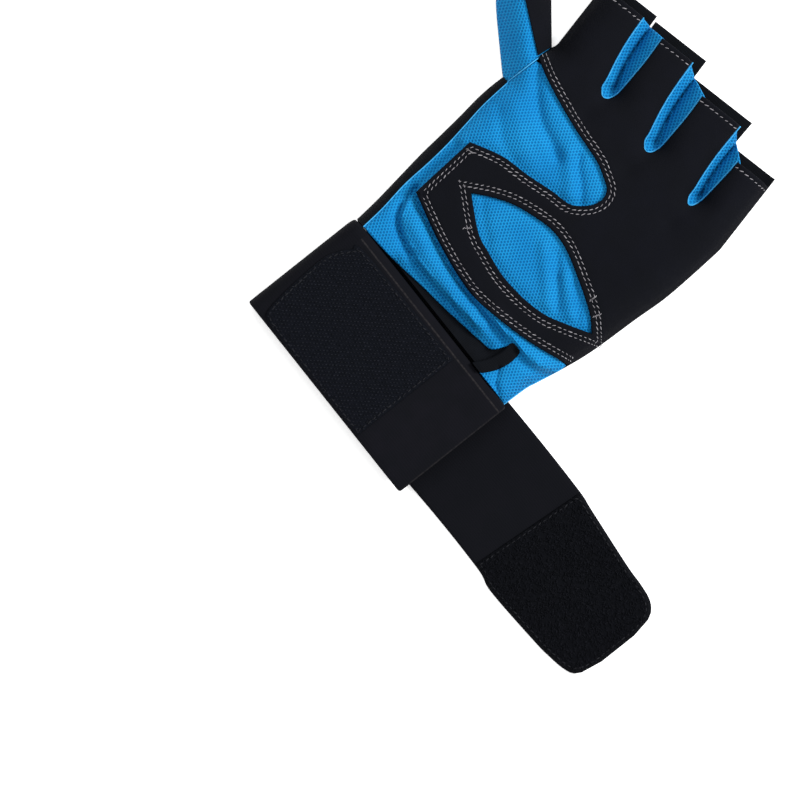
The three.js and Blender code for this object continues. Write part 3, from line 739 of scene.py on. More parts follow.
    def lining(self, points: np.ndarray) -> np.ndarray:
        """Height of the palm cloth's underside.

        Args:
            points: rows of x and y.

        Returns:
            Heights above the surface that the glove lies on.
        """
        sizes = self.sizes
        along = self.along(points)
        near = nearest(points, self.side_paths)
        lowest = self.back_underside(along) + sizes.back_wall + self.cloth_clearance
        lowest += self.rim(near) - sizes.back_wall * rim_drop(near)
        place, crown_share, roll_share = np.array(CROWN_SECTIONS).T
        crown = np.interp(along, place, crown_share) * (sizes.cuff_top + sizes.seam_gap)
        roll = np.interp(along, place, roll_share) * sizes.palm_length
        edge = np.minimum(near, nearest(points, self.crease_paths))
        rise = 1 - (1 - np.minimum(edge / roll, 1)) ** self.roll_power
        height = lowest + (crown - lowest) * rise
        for fold, path in zip(FOLDS, self._fold_paths):
            away, side = path_distance(points, path)
            left = (1 + side) / 2
            spread = fold.spread * sizes.palm_length * (left * fold.steep + 1 - left)
            height += fold.depth * sizes.band_height * bell(away, spread)
        depth, spread, start, end = self.root_valley
        for gap in Gap:
            side = self.across(gap.value[0]) / sizes.half_palm
            away, _ = path_distance(points, self.on_palm([(side, start), (side, end)]))
            height += depth * sizes.band_height * bell(away, spread * sizes.palm_length)
        height = np.maximum(height, lowest)
        return np.where(inside_ring(points, self.outline_ring), height, lowest)

    def lift(self, points: np.ndarray) -> np.ndarray:
        """Share by which an upright measure grows over leaning cloth.

        Args:
            points: rows of x and y.

        Returns:
            Factors from 1 to the steepest lift.
        """
        probe = 0.4
        square = np.ones(len(points))
        for way in (np.array([probe, 0.0]), np.array([0.0, probe])):
            slope = (self.lining(points + way) - self.lining(points - way)) / (2 * probe)
            square = square + slope**2
        return np.minimum(np.sqrt(square), self.steepest_lift)

    def height(self, layer: Layer, wall: float) -> HeightAt:
        """Makes the height function of a layer of palm cloth.

        Args:
            layer: which layer.
            wall: thickness above the layer's underside.

        Returns:
            Function from points to heights.
        """

        def at(points: np.ndarray) -> np.ndarray:
            """Heights at points."""
            stack = np.zeros(len(points))
            if layer is Layer.OVERLAY:
                near = nearest(points, self.outer_paths)
                stack = self.sizes.second_layer * ease(near, 0, self.edge_fade)
            return self.lining(points) + (stack + wall) * self.lift(points)

        return at

    def puckered(self, wall: float) -> HeightAt:
        """Makes the mesh's height function, drawn in along the suede's border and lens.

        Args:
            wall: thickness above the mesh's underside.

        Returns:
            Function from points to heights.
        """
        lower = self.palm_curve(SUEDE_LOWER_BORDER)[::-1]
        border = np.vstack([lower, self.palm_curve(BAY_BORDER, self.bay_steps)])
        seams = [border, closed_path(self.lens())]
        level = self.height(Layer.LINING, wall)

        def at(points: np.ndarray) -> np.ndarray:
            """Heights at points."""
            outer = nearest(points, self.outer_paths)
            drawn = bell(nearest(points, seams), self.pucker_width) * ease(outer, *self.pucker_fade)
            return level(points) - self.pucker_depth * drawn

        return at


@dataclass
class MeshData:
    """Points in millimetres, faces and a map of lengths along the cloth."""

    points: np.ndarray
    faces: list
    uv: np.ndarray

    def joined(self, other: "MeshData") -> "MeshData":
        """Adds another set of data.

        Args:
            other: the other set.

        Returns:
            One set with both.
        """
        start = len(self.points)
        moved = [tuple(corner + start for corner in face) for face in other.faces]
        return MeshData(
            np.vstack([self.points, other.points]),
            [*self.faces, *moved],
            np.vstack([self.uv, other.uv]),
        )


def make_piece(name: str, data: MeshData, sharp: float = 50.0) -> bpy.types.Object:
    """Makes a smooth-shaded object from mesh data.

    Args:
        name: the object's name.
        data: points in millimetres, faces and map.
        sharp: the angle in degrees above which an edge stays sharp.

    Returns:
        The object, at the origin.
    """
    mesh = bpy.data.meshes.new(name)
    mesh.from_pydata((data.points * METRES).tolist(), [], data.faces)
    mesh.update()
    layer = mesh.uv_layers.new(name=CLOTH_MAP)
    corners = np.empty(len(mesh.loops), np.int32)
    mesh.loops.foreach_get("vertex_index", corners)
    layer.data.foreach_set("uv", data.uv[corners].astype(np.float32).ravel())
    mesh.shade_smooth()
    mesh.set_sharp_from_angle(angle=math.radians(sharp))
    piece = bpy.data.objects.new(name, mesh)
    bpy.context.scene.collection.objects.link(piece)
    return piece


@dataclass
class ClothSheet:
    """A cut piece of cloth with a rounded rim."""

    outline: np.ndarray
    holes: list = field(default_factory=list)
    spacing: float = 1.6
    rings: tuple = (0.3, 0.7, 1.3)
    rounding: float = RIM_ROUNDING
    row_pitch: float = 0.87
    rim_pitch: float = 0.7
    ring_room: float = 0.55
    ring_slack: float = 0.93
    sharp_turn: float = 0.5

    def net(self) -> tuple[np.ndarray, np.ndarray, np.ndarray]:
        """Lays a net of triangles over the outline.

        Returns:
            The net's points, its triangles, and each point's distance from the rim.
        """
        merge_distance = 1e-4
        least_area = 1e-6
        loops = [self._spaced(ring) for ring in (self.outline, *self.holes)]
        borders = [closed_path(loop) for loop in loops]
        rings = [self._ring_points(loop, ring, borders) for loop in loops for ring in self.rings]
        grid = self._grid()
        clear = nearest(grid, borders) > self.rings[-1] + self.spacing * self.ring_room
        inner = grid[clear & self._inside(grid, loops)]
        points = [Vector(spot) for spot in np.vstack([*loops, *rings, inner])]
        result = delaunay_2d_cdt(points, line_edges(loops, True), [], 0, merge_distance)
        spots = np.array([tuple(spot) for spot in result[0]])
        faces = np.array(result[2])
        faces = faces[self._inside(spots[faces].mean(axis=1), loops)]
        corners = spots[faces]
        first = corners[:, 1] - corners[:, 0]
        second = corners[:, 2] - corners[:, 0]
        turn = first[:, 0] * second[:, 1] - first[:, 1] * second[:, 0]
        faces[turn < 0] = faces[turn < 0][:, ::-1]
        faces = faces[np.abs(turn) > least_area]
        return spots, faces, nearest(spots, borders)

    def _grid(self) -> np.ndarray:
        """Staggered rows of points over the outline's box."""
        low = self.outline.min(axis=0)
        high = self.outline.max(axis=0)
        spots = []
        for j, y in enumerate(np.arange(low[1], high[1], self.spacing * self.row_pitch)):
            shift = self.spacing / 2 if j % 2 else 0.0
            spots.extend((x, y) for x in np.arange(low[0] + shift, high[0], self.spacing))
        return np.array(spots)

    def _spaced(self, ring: np.ndarray) -> np.ndarray:
        """Spaces a closed outline evenly between its sharp corners.

        Args:
            ring: the outline's points.

        Returns:
            The evenly spaced points.
        """
        ring = ring[np.hypot(*(ring - np.roll(ring, 1, axis=0)).T) > 1e-3]
        before = ring - np.roll(ring, 1, axis=0)
        after = np.roll(ring, -1, axis=0) - ring
        turn = np.abs(np.arctan2(
            before[:, 0] * after[:, 1] - before[:, 1] * after[:, 0],
            (before * after).sum(axis=1),
        ))
        corners = np.nonzero(turn > self.sharp_turn)[0]
        if len(corners) == 0:
            corners = np.array([0])
        spaced = []
        for start, end in zip(corners, np.roll(corners, -1)):
            stretch = ring[start:end + 1] if end > start else np.vstack([ring[start:], ring[:end + 1]])
            spaced.append(even_path(stretch, self.spacing * self.rim_pitch)[:-1])
        return np.vstack(spaced)

    def _ring_points(self, loop: np.ndarray, ring: float, borders: list) -> np.ndarray:
        """Sets points at one distance inside the rim.

        Args:
            loop: the rim's points.
            ring: the distance.
            borders: every rim of the cloth as a closed path.

        Returns:
            The points that are clear of every rim.
        """
        normal = left_of(unit_rows(np.roll(loop, -1, axis=0) - np.roll(loop, 1, axis=0)))
        both = np.vstack([loop + normal * ring, loop - normal * ring])
        clear = nearest(both, borders) > ring * self.ring_slack
        return both[clear & self._inside(both, [border[:-1] for border in borders])]

    @staticmethod
    def _inside(points: np.ndarray, loops: list) -> np.ndarray:
        """Says which points lie on the cloth.

        Args:
            points: rows of x and y.
            loops: the outline and then the cutouts.

        Returns:
            One truth value for each point.
        """
        inside = inside_ring(points, loops[0])
        for hole in loops[1:]:
            inside &= ~inside_ring(points, hole)
        return inside

    def solid(self, bottom: HeightAt, top: HeightAt) -> MeshData:
        """Gives the cloth its thickness.

        Args:
            bottom: function from points to the underside's heights.
            top: function from points to the upper face's heights.

        Returns:
            The closed cloth.
        """
        spots, faces, rim = self.net()
        low = bottom(spots)
        high = top(spots)
        high = high - (high - low) * rim_drop(rim, self.rounding)
        count = len(spots)
        points = np.vstack([np.column_stack([spots, high]), np.column_stack([spots, low])])
        upper = [tuple(face) for face in faces.tolist()]
        lower = [(a + count, c + count, b + count) for a, b, c in upper]
        directed = {(face[i], face[(i + 1) % 3]) for face in upper for i in range(3)}
        walls = [(a + count, b + count, b, a) for a, b in directed if (b, a) not in directed]
        return MeshData(points, upper + lower + walls, np.vstack([spots, spots]))


def skin(stations: int, count: int, ring: bool) -> list:
    """Lays faces between closed profiles that follow each other.

    Args:
        stations: number of profiles.
        count: number of points in each.
        ring: whether the last profile meets the first.

    Returns:
        Faces with four corners.
    """
    faces = []
    for s in range(stations if ring else stations - 1):
        here = s * count
        next_one = (s + 1) % stations * count
        for i in range(count):
            j = (i + 1) % count
            faces.append((here + i, here + j, next_one + j, next_one + i))
    return faces


def loft(sections: np.ndarray, uv_across: np.ndarray, uv_along: np.ndarray) -> MeshData:
    """Skins closed profiles and closes both ends.

    Args:
        sections: profiles as an array of stations, profile points and coordinates.
        uv_across: length along the profile for each of its points.
        uv_along: length along the piece for each station.

    Returns:
        The closed skin.
    """
    stations, count, _ = sections.shape
    faces = skin(stations, count, False)
    last = (stations - 1) * count
    faces.append(tuple(range(count - 1, -1, -1)))
    faces.append(tuple(last + i for i in range(count)))
    uv = np.array([(across, along) for along in uv_along for across in uv_across])
    return MeshData(sections.reshape(-1, 3), faces, uv)


def turn_outward(piece: bpy.types.Object) -> None:
    """Turns a closed piece's faces outward."""
    mesh = bmesh.new()
    mesh.from_mesh(piece.data)
    bmesh.ops.recalc_face_normals(mesh, faces=mesh.faces)
    mesh.to_mesh(piece.data)
    mesh.free()


class NodeBoard:
    """Adds nodes to one node tree and joins them."""

    def __init__(self, tree: bpy.types.NodeTree) -> None:
        """Keeps the tree to work on."""
        self.tree = tree
        self.column = 0

    def add(self, kind: str, inputs: dict | None = None, **settings) -> bpy.types.Node:
        """Adds a node.

        Args:
            kind: the node's type name.
            inputs: values or sockets by input name or number.
            settings: properties of the node.

        Returns:
            The new node.
        """
        node = self.tree.nodes.new(kind)
        node.location = (self.column * 180, 0)
        self.column += 1
        for name, value in settings.items():
            setattr(node, name, value)
        for key, value in (inputs or {}).items():
            self.feed(node.inputs[key], value)
        return node

    def feed(self, socket: bpy.types.NodeSocket, value) -> None:
        """Joins a socket to another, or sets its value.

        Args:
            socket: the input.
            value: an output or a plain value.
        """
        if isinstance(value, bpy.types.NodeSocket):
            self.tree.links.new(value, socket)
        else:
            socket.default_value = value

    def maths(self, operation: str, first, second=0.0, third=0.0) -> bpy.types.NodeSocket:
        """Output of a Math node on up to three values."""
        inputs = {0: first, 1: second, 2: third}
        return self.add("ShaderNodeMath", inputs, operation=operation).outputs[0]

    def blend(self, share, first, second) -> bpy.types.NodeSocket:
        """Output of a colour mix."""
        inputs = {0: share, 6: first, 7: second}
        return self.add("ShaderNodeMix", inputs, data_type="RGBA").outputs[2]

    def mix(self, share, first, second) -> bpy.types.NodeSocket:
        """Output of a number mix."""
        return self.add("ShaderNodeMix", {0: share, 2: first, 3: second}).outputs[0]

    def spread(self, value, low, high, to_low: float, to_high: float) -> bpy.types.NodeSocket:
        """Output of a smooth range change."""
        inputs = {0: value, 1: low, 2: high, 3: to_low, 4: to_high}
        return self.add("ShaderNodeMapRange", inputs, interpolation_type="SMOOTHSTEP").outputs[0]

    def noise(self, vector, scale, detail: float) -> bpy.types.NodeSocket:
        """Output of a noise texture."""
        inputs = {"Vector": vector, "Scale": scale, "Detail": detail}
        return self.add("ShaderNodeTexNoise", inputs).outputs[0]

    def group(self, tree: bpy.types.NodeTree, **inputs) -> bpy.types.NodeSocket:
        """Output of a shared group with its inputs set by name."""
        return self.add("ShaderNodeGroup", inputs, node_tree=tree).outputs[0]

    def object_place(self) -> bpy.types.NodeSocket:
        """Places in the object's own frame, in metres."""
        return self.add("ShaderNodeTexCoord").outputs["Object"]

    def cloth_place(self) -> bpy.types.NodeSocket:
        """Places along the cloth, in millimetres."""
        return self.add("ShaderNodeUVMap", uv_map=CLOTH_MAP).outputs[0]

    def parts(self, vector) -> bpy.types.bpy_prop_collection:
        """The three parts of a vector."""
        return self.add("ShaderNodeSeparateXYZ", {0: vector}).outputs

    def random(self, low, high, seed) -> bpy.types.NodeSocket:
        """A random number for each point."""
        inputs = {"Min": low, "Max": high, "Seed": seed}
        return self.add("FunctionNodeRandomValue", inputs).outputs[1]


def rgb(red: int, green: int, blue: int) -> tuple[float, float, float, float]:
    """Linear colour of a display colour.

    Args:
        red: level from 0 to 255.
        green: the same.
        blue: the same.

    Returns:
        The colour with full alpha.
    """

    def linear(level: int) -> float:
        """One channel without the display curve."""
        share = level / 255
        return share / 12.92 if share <= 0.04045 else ((share + 0.055) / 1.055) ** 2.4

    return (linear(red), linear(green), linear(blue), 1.0)


class SharedEffects:
    """Shader node groups that several finishes use."""

    kinds = {type(None): "NodeSocketVector", float: "NodeSocketFloat", tuple: "NodeSocketColor"}

    def __init__(self) -> None:
        """Builds the groups once."""
        self.dots = self._dots()
        self.grain = self._grain()
        self.drift = self._drift()
        self.ribs = self._ribs()

    def _group(self, name: str, output: str, default, **inputs) -> tuple:
        """Makes an empty group with named inputs.

        Args:
            name: the group's name.
            output: the output's name.
            default: a value of the output's kind.
            inputs: a value for each input, or nothing for a vector.

        Returns:
            The group, its board, its inputs' sockets and its output's socket.
        """
        tree = bpy.data.node_groups.new(name, "ShaderNodeTree")
        for label, value in inputs.items():
            socket = tree.interface.new_socket(
                name=label, in_out="INPUT", socket_type=self.kinds[type(value)])
            if value is not None:
                socket.default_value = value
        tree.interface.new_socket(name=output, in_out="OUTPUT", socket_type=self.kinds[type(default)])
        board = NodeBoard(tree)
        start = board.add("NodeGroupInput").outputs
        return tree, board, start, board.add("NodeGroupOutput").inputs[output]

    def _dots(self) -> bpy.types.NodeTree:
        """Staggered pinholes of a knitted mesh."""
        tree, board, start, end = self._group(
            "staggered_holes", "Hole", 0.0,
            Vector=None, Across=1.39, Along=2.03, Radius=0.3, Softness=0.25)
        parts = board.parts(start["Vector"])
        places = [board.maths("DIVIDE", parts[i], start[label]) for i, label in enumerate(("Across", "Along"))]
        reach = []
        for shift in (0.0, 0.5):
            legs = []
            for place, pitch in zip(places, ("Across", "Along")):
                cell = board.maths("FRACT", board.maths("ADD", place, shift))
                leg = board.maths("MULTIPLY", board.maths("SUBTRACT", cell, 0.5), start[pitch])
                legs.append(board.maths("POWER", leg, 2.0))
            reach.append(board.maths("SQRT", board.maths("ADD", *legs)))
        outer = board.maths("ADD", start["Radius"], start["Softness"])
        board.feed(end, board.spread(board.maths("MINIMUM", *reach), start["Radius"], outer, 1.0, 0.0))
        return tree

    def _grain(self) -> bpy.types.NodeTree:
        """Fine nap of fibres at two scales."""
        tree, board, start, end = self._group(
            "fibre_grain", "Height", 0.0, Vector=None, Fine=3000.0, Coarse=500.0, Share=0.5)
        fine = board.noise(start["Vector"], start["Fine"], 3.0)
        coarse = board.noise(start["Vector"], start["Coarse"], 4.0)
        board.feed(end, board.mix(start["Share"], fine, coarse))
        return tree

    def _drift(self) -> bpy.types.NodeTree:
        """Slow change between two colours over a cloth."""
        light = (0.5, 0.5, 0.5, 1)
        dark = (0.2, 0.2, 0.2, 1)
        tree, board, start, end = self._group(
            "colour_drift", "Colour", light, Vector=None, Scale=40.0, Light=light, Dark=dark)
        share = board.spread(board.noise(start["Vector"], start["Scale"], 3.0), 0.3, 0.7, 0.0, 1.0)
        board.feed(end, board.blend(share, start["Dark"], start["Light"]))
        return tree

    def _ribs(self) -> bpy.types.NodeTree:
        """Crossed ribs of a woven elastic or a stretch knit."""
        tree, board, start, end = self._group(
            "crossed_ribs", "Height", 0.0, Vector=None, Across=0.8, Along=0.8, Share=0.5)
        parts = board.parts(start["Vector"])
        waves = []
        for i, pitch in enumerate(("Across", "Along")):
            turns = board.maths("DIVIDE", parts[i], start[pitch])
            waves.append(board.maths("SINE", board.maths("MULTIPLY", turns, math.tau)))
        mixed = board.mix(start["Share"], *waves)
        board.feed(end, board.maths("MULTIPLY_ADD", mixed, 0.5, 0.5))
        return tree


@dataclass(frozen=True)
class Cloth:
    """A finished material with the record's slot that it belongs to."""

    material: bpy.types.Material
    slot: str


@dataclass(frozen=True)
class Finish:
    """A cloth's or thread's finish: slow changes of colour and a nap of fibres.

    Attributes:
        drift: how often the colour changes, for each metre.
        grain: the fibres' fine and coarse scales, and the coarse one's share.
        depth: height of the relief, in metres.
    """

    name: str
    slot: str
    light: tuple
    dark: tuple
    roughness: float = 0.9
    sheen: float = 0.0
    specular: float = 0.05
    drift: float = 120.0
    grain: tuple = (5000.0, 900.0, 0.4)
    depth: float = 0.00012

    def build(self, effects: SharedEffects) -> Cloth:
        """Makes the material.

        Args:
            effects: the shared groups.

        Returns:
            The material with its slot.
        """
        material = bpy.data.materials.new(self.name)
        material.use_nodes = True
        material.diffuse_color = self.light
        board = NodeBoard(material.node_tree)
        shader = material.node_tree.nodes["Principled BSDF"]
        shader.inputs["Roughness"].default_value = self.roughness
        shader.inputs["Sheen Weight"].default_value = self.sheen
        shader.inputs["Sheen Roughness"].default_value = 0.5
        shader.inputs["Specular IOR Level"].default_value = self.specular
        place = board.object_place()
        colour = board.group(effects.drift, Vector=place, Scale=self.drift, Light=self.light, Dark=self.dark)
        fine, coarse, share = self.grain
        fibres = board.group(effects.grain, Vector=place, Fine=fine, Coarse=coarse, Share=share)
        colour, height = self.weave(board, effects, colour, fibres)
        board.feed(shader.inputs["Base Color"], colour)
        relief = {"Height": height, "Distance": self.depth, "Strength": 1.0}
        board.feed(shader.inputs["Normal"], board.add("ShaderNodeBump", relief).outputs["Normal"])
        return Cloth(material, self.slot)

    def weave(self, board: NodeBoard, effects: SharedEffects, colour, fibres) -> tuple:
        """Gives the cloth's colour and height, which here are those of its fibres alone."""
        return colour, fibres


@dataclass(frozen=True)
class MeshKnitFinish(Finish):
    """Bright knit with staggered pinholes.

    Attributes:
        nap: height of the fibres beside a hole's depth.
    """

    drift: float = 60.0
    grain: tuple = (5200.0, 1500.0, 0.4)
    depth: float = 0.00028
    hole: tuple = rgb(0, 68, 126)
    hole_share: float = 0.82
    hole_radius: float = 0.08
    hole_softness: float = 0.66
    nap: float = 0.25

    def weave(self, board: NodeBoard, effects: SharedEffects, colour, fibres) -> tuple:
        """Adds the pinholes.

        Args:
            board: the material's nodes.
            effects: the shared groups.
            colour: the cloth's drifting colour.
            fibres: its fibres' height.

        Returns:
            The colour and the height.
        """
        holes = board.group(
            effects.dots, Vector=board.cloth_place(), Radius=self.hole_radius, Softness=self.hole_softness)
        share = board.maths("MULTIPLY", holes, self.hole_share)
        pit = board.maths("SUBTRACT", board.maths("MULTIPLY", fibres, self.nap), holes)
        return board.blend(share, colour, self.hole), pit


@dataclass(frozen=True)
class SuedeFinish(Finish):
    """Matt suede with a short nap."""

    drift: float = 90.0
    grain: tuple = (4200.0, 700.0, 0.35)
    depth: float = 0.00022

    def weave(self, board: NodeBoard, effects: SharedEffects, colour, fibres) -> tuple:
        """Lightens the tips of the nap."""
        nap = board.spread(fibres, 0.35, 0.7, 0.0, 0.35)
        return board.blend(nap, colour, self.light), fibres


@dataclass(frozen=True)
class RibbedFinish(Finish):
    """Stretch knit or woven elastic with fine crossed ribs.

    Attributes:
        across: pitch of the ribs across the cloth, in millimetres.
        along: pitch of the ribs along it.
        share: how much the second ones count.
        nap: height of the fibres beside the ribs.
    """

    across: float = 0.7
    along: float = 0.9
    share: float = 0.3
    shade: float = 0.45
    nap: float = 0.6

    def weave(self, board: NodeBoard, effects: SharedEffects, colour, fibres) -> tuple:
        """Adds the ribs.

        Args:
            board: the material's nodes.
            effects: the shared groups.
            colour: the cloth's drifting colour.
            fibres: its fibres' height.

        Returns:
            The colour and the height.
        """
        ribs = board.group(
            effects.ribs, Vector=board.cloth_place(), Across=self.across, Along=self.along, Share=self.share)
        shade = board.maths("MULTIPLY", ribs, self.shade)
        return board.blend(shade, colour, self.light), board.maths("MULTIPLY_ADD", fibres, self.nap, ribs)


@dataclass(frozen=True)
class WebbingFinish(RibbedFinish):
    """Woven elastic with a thin painted highlight, in the colour line, along its hem and its curled edge.

    Attributes:
        edge: place of the curled edge across the strap, in millimetres.
        band: length of the strap's palm side.
    """

    across: float = 1.0
    along: float = 0.55
    share: float = 0.35
    line: tuple = rgb(40, 38, 39)
    tail: tuple = rgb(11, 12, 16)
    edge: float = 22.3
    hem: float = 0.7
    band: float = 84.0

    def weave(self, board: NodeBoard, effects: SharedEffects, colour, fibres) -> tuple:
        """Adds the painted highlight lines and the darker tail.

        Args:
            board: the material's nodes.
            effects: the shared groups.
            colour: the cloth's drifting colour.
            fibres: its fibres' height.

        Returns:
            The colour and the height.
        """
        colour, height = super().weave(board, effects, colour, fibres)
        cloth = board.cloth_place()
        across, along = board.parts(cloth)[:2]
        away = board.maths("ABSOLUTE", board.maths("SUBTRACT", across, self.edge))
        edge = board.spread(away, 0.1, 0.5, 1.0, 0.0)
        hem = board.spread(along, self.hem * 0.4, self.hem, 0.6, 0.0)
        on_band = board.maths("LESS_THAN", along, self.band)
        # painted highlight along the curled edge and the hem, broken into patches by noise
        highlight_breakup = board.spread(board.noise(cloth, 0.9, 2.0), 0.3, 0.65, 0.25, 0.9)
        highlight_mask = board.maths("MULTIPLY", board.maths("MAXIMUM", edge, hem), on_band)
        colour = board.blend(board.maths("MULTIPLY_ADD", on_band, 0.6, 0.4), self.tail, colour)
        return board.blend(board.maths("MULTIPLY", highlight_mask, highlight_breakup), colour, self.line), height


@dataclass(frozen=True)
class PileFinish(Finish):
    """Ground cloth and fibres of the hook and loop tapes."""

    drift: float = 700.0
    grain: tuple = (3500.0, 1200.0, 0.5)
    depth: float = 0.0003


@dataclass(frozen=True)
class ThreadFinish(Finish):
    """Sewing thread, or a thin roll of cloth, with a slight twist."""

    roughness: float = 0.7
    drift: float = 900.0
    grain: tuple = (6000.0, 2500.0, 0.5)
    depth: float = 0.0001


class Finishes:
    """All materials of the glove."""

    def __init__(self) -> None:
        """Builds the shared effects and then each material."""
        effects = SharedEffects()
        self.blue_mesh = MeshKnitFinish(
            "blue_mesh_knit", "blue_mesh", rgb(21, 133, 190), rgb(14, 122, 181),
            roughness=0.85, specular=0.1,
        ).build(effects)
        # lighter blue than the mesh it is rolled from: a painted highlight on the seam edges
        self.seam_highlight_cloth = ThreadFinish(
            "blue_seam_highlight", "blue_mesh", rgb(66, 158, 208), rgb(40, 140, 196),
            roughness=0.8, sheen=0.05, specular=0.15,
        ).build(effects)
        self.suede = SuedeFinish(
            "black_suede", "suede", rgb(14, 15, 20), rgb(13, 14, 18), roughness=0.95, specular=0.04,
        ).build(effects)
        self.stretch = RibbedFinish(
            "black_stretch_knit", "stretch_cloth", rgb(12, 14, 18), rgb(8, 9, 12),
        ).build(effects)
        self.elastic = WebbingFinish(
            "black_elastic", "elastic_webbing", rgb(15, 15, 20), rgb(12, 13, 17), depth=0.00005,
        ).build(effects)
        self.loop_ground = PileFinish(
            "loop_tape_ground", "loop_tape", rgb(12, 14, 20), rgb(8, 10, 15),
        ).build(effects)
        self.loop_pile = PileFinish(
            "loop_tape_pile", "loop_tape", rgb(19, 21, 29), rgb(12, 14, 20), roughness=0.7, specular=0.12,
        ).build(effects)
        self.hook_ground = PileFinish(
            "hook_tape_ground", "hook_tape", rgb(9, 10, 14), rgb(5, 6, 9),
        ).build(effects)
        self.hook_pile = PileFinish(
            "hook_tape_pile", "hook_tape", rgb(15, 16, 21), rgb(8, 9, 13), roughness=0.8, specular=0.06,
        ).build(effects)
        self.grey_thread = ThreadFinish(
            "grey_thread", "suede", rgb(150, 148, 152), rgb(106, 103, 108), sheen=0.05, specular=0.2,
        ).build(effects)
        self.black_thread = ThreadFinish(
            "black_thread", "elastic_webbing", rgb(30, 31, 35), rgb(20, 20, 24), specular=0.1,
        ).build(effects)


class GeometryTree:
    """A Geometry Nodes tree that grows small things on a base mesh and leaves a plain mesh."""

    kinds = {"Seed": "NodeSocketInt", "Material": "NodeSocketMaterial", "Geometry": "NodeSocketGeometry"}

    def __init__(self, name: str, *inputs: str) -> None:
        """Makes the tree with named inputs.

        Args:
            name: the tree's name.
            inputs: the names of its inputs besides the geometry, numbers where kinds lists no other.
        """
        self.tree = bpy.data.node_groups.new(name, "GeometryNodeTree")
        for label in ("Geometry", *inputs):
            kind = self.kinds.get(label, "NodeSocketFloat")
            self.tree.interface.new_socket(name=label, in_out="INPUT", socket_type=kind)
        self.tree.interface.new_socket(
            name="Geometry", in_out="OUTPUT", socket_type=self.kinds["Geometry"])
        self.board = NodeBoard(self.tree)
        self.start = self.board.add("NodeGroupInput").outputs
        self.end = self.board.add("NodeGroupOutput").inputs[0]

    def jittered(self, middle: str, jitter: str) -> bpy.types.NodeSocket:
        """A random number for each point, within one input of another."""
        board, start = self.board, self.start
        low = board.maths("SUBTRACT", start[middle], start[jitter])
        return board.random(low, board.maths("ADD", start[middle], start[jitter]), start["Seed"])

    def curve(self) -> bpy.types.NodeSocket:
        """The base mesh's edges as curves."""
        return self.board.add("GeometryNodeMeshToCurve", {0: self.start["Geometry"]}).outputs[0]

    def close_with_beads(self, spots, rotation, size, detail: tuple, vary) -> None:
        """Puts a bead of its own size on every spot and closes the tree.

        Args:
            spots: the points.
            rotation: each bead's turn.
            size: its half sizes.
            detail: a bead's segments and rings.
            vary: factor of its size.
        """
        segments, rings = detail
        add = self.board.add
        bead = add("GeometryNodeMeshUVSphere", {"Segments": segments, "Rings": rings, "Radius": 1.0})
        scaled = add("ShaderNodeVectorMath", {0: size.outputs[0], 3: vary}, operation="SCALE")
        self.close(add("GeometryNodeInstanceOnPoints", {
            "Points": spots, "Instance": bead.outputs[0], "Rotation": rotation, "Scale": scaled.outputs[0],
        }))

    def close(self, grown: bpy.types.Node) -> None:
        """Realizes a node's instances, smooths them and gives them their material."""
        real = self.board.add("GeometryNodeRealizeInstances", {0: grown.outputs[0]})
        smooth = self.board.add("GeometryNodeSetShadeSmooth", {0: real.outputs[0]})
        inputs = {0: smooth.outputs[0], "Material": self.start["Material"]}
        self.board.feed(self.end, self.board.add("GeometryNodeSetMaterial", inputs).outputs[0])

    def grow(self, name: str, points: np.ndarray, edges: list, values: dict) -> bpy.types.Object:
        """Runs the tree on points and edges.

        Args:
            name: the new object's name.
            points: rows of x, y and z in millimetres.
            edges: pairs of point numbers.
            values: input values by input name.

        Returns:
            A plain object with the result.
        """
        base = bpy.data.meshes.new(name + "_base")
        base.from_pydata((points * METRES).tolist(), edges, [])
        carrier = bpy.data.objects.new(name + "_base", base)
        bpy.context.scene.collection.objects.link(carrier)
        modifier = carrier.modifiers.new("grow", "NODES")
        modifier.node_group = self.tree
        for item in self.tree.interface.items_tree:
            if item.item_type == "SOCKET" and item.in_out == "INPUT" and item.name in values:
                modifier[item.identifier] = values[item.name]
        bpy.context.view_layer.update()
        evaluated = carrier.evaluated_get(bpy.context.evaluated_depsgraph_get())
        mesh = bpy.data.meshes.new_from_object(evaluated)
        carrier.modifiers.remove(modifier)
        bpy.data.objects.remove(carrier)
        mesh.name = name
        piece = bpy.data.objects.new(name, mesh)
        bpy.context.scene.collection.objects.link(piece)
        return piece


@dataclass(frozen=True)
class Stitch:
    """One kind of stitch, in millimetres.

    Attributes:
        slant: how far each stitch turns from the row, in radians.
        jitter: how far the slants differ.
    """

    pitch: float = 2.17
    length: float = 1.8
    radius: float = 0.175
    slant: float = 0.22
    seed: int = 7
    jitter: float = 0.2


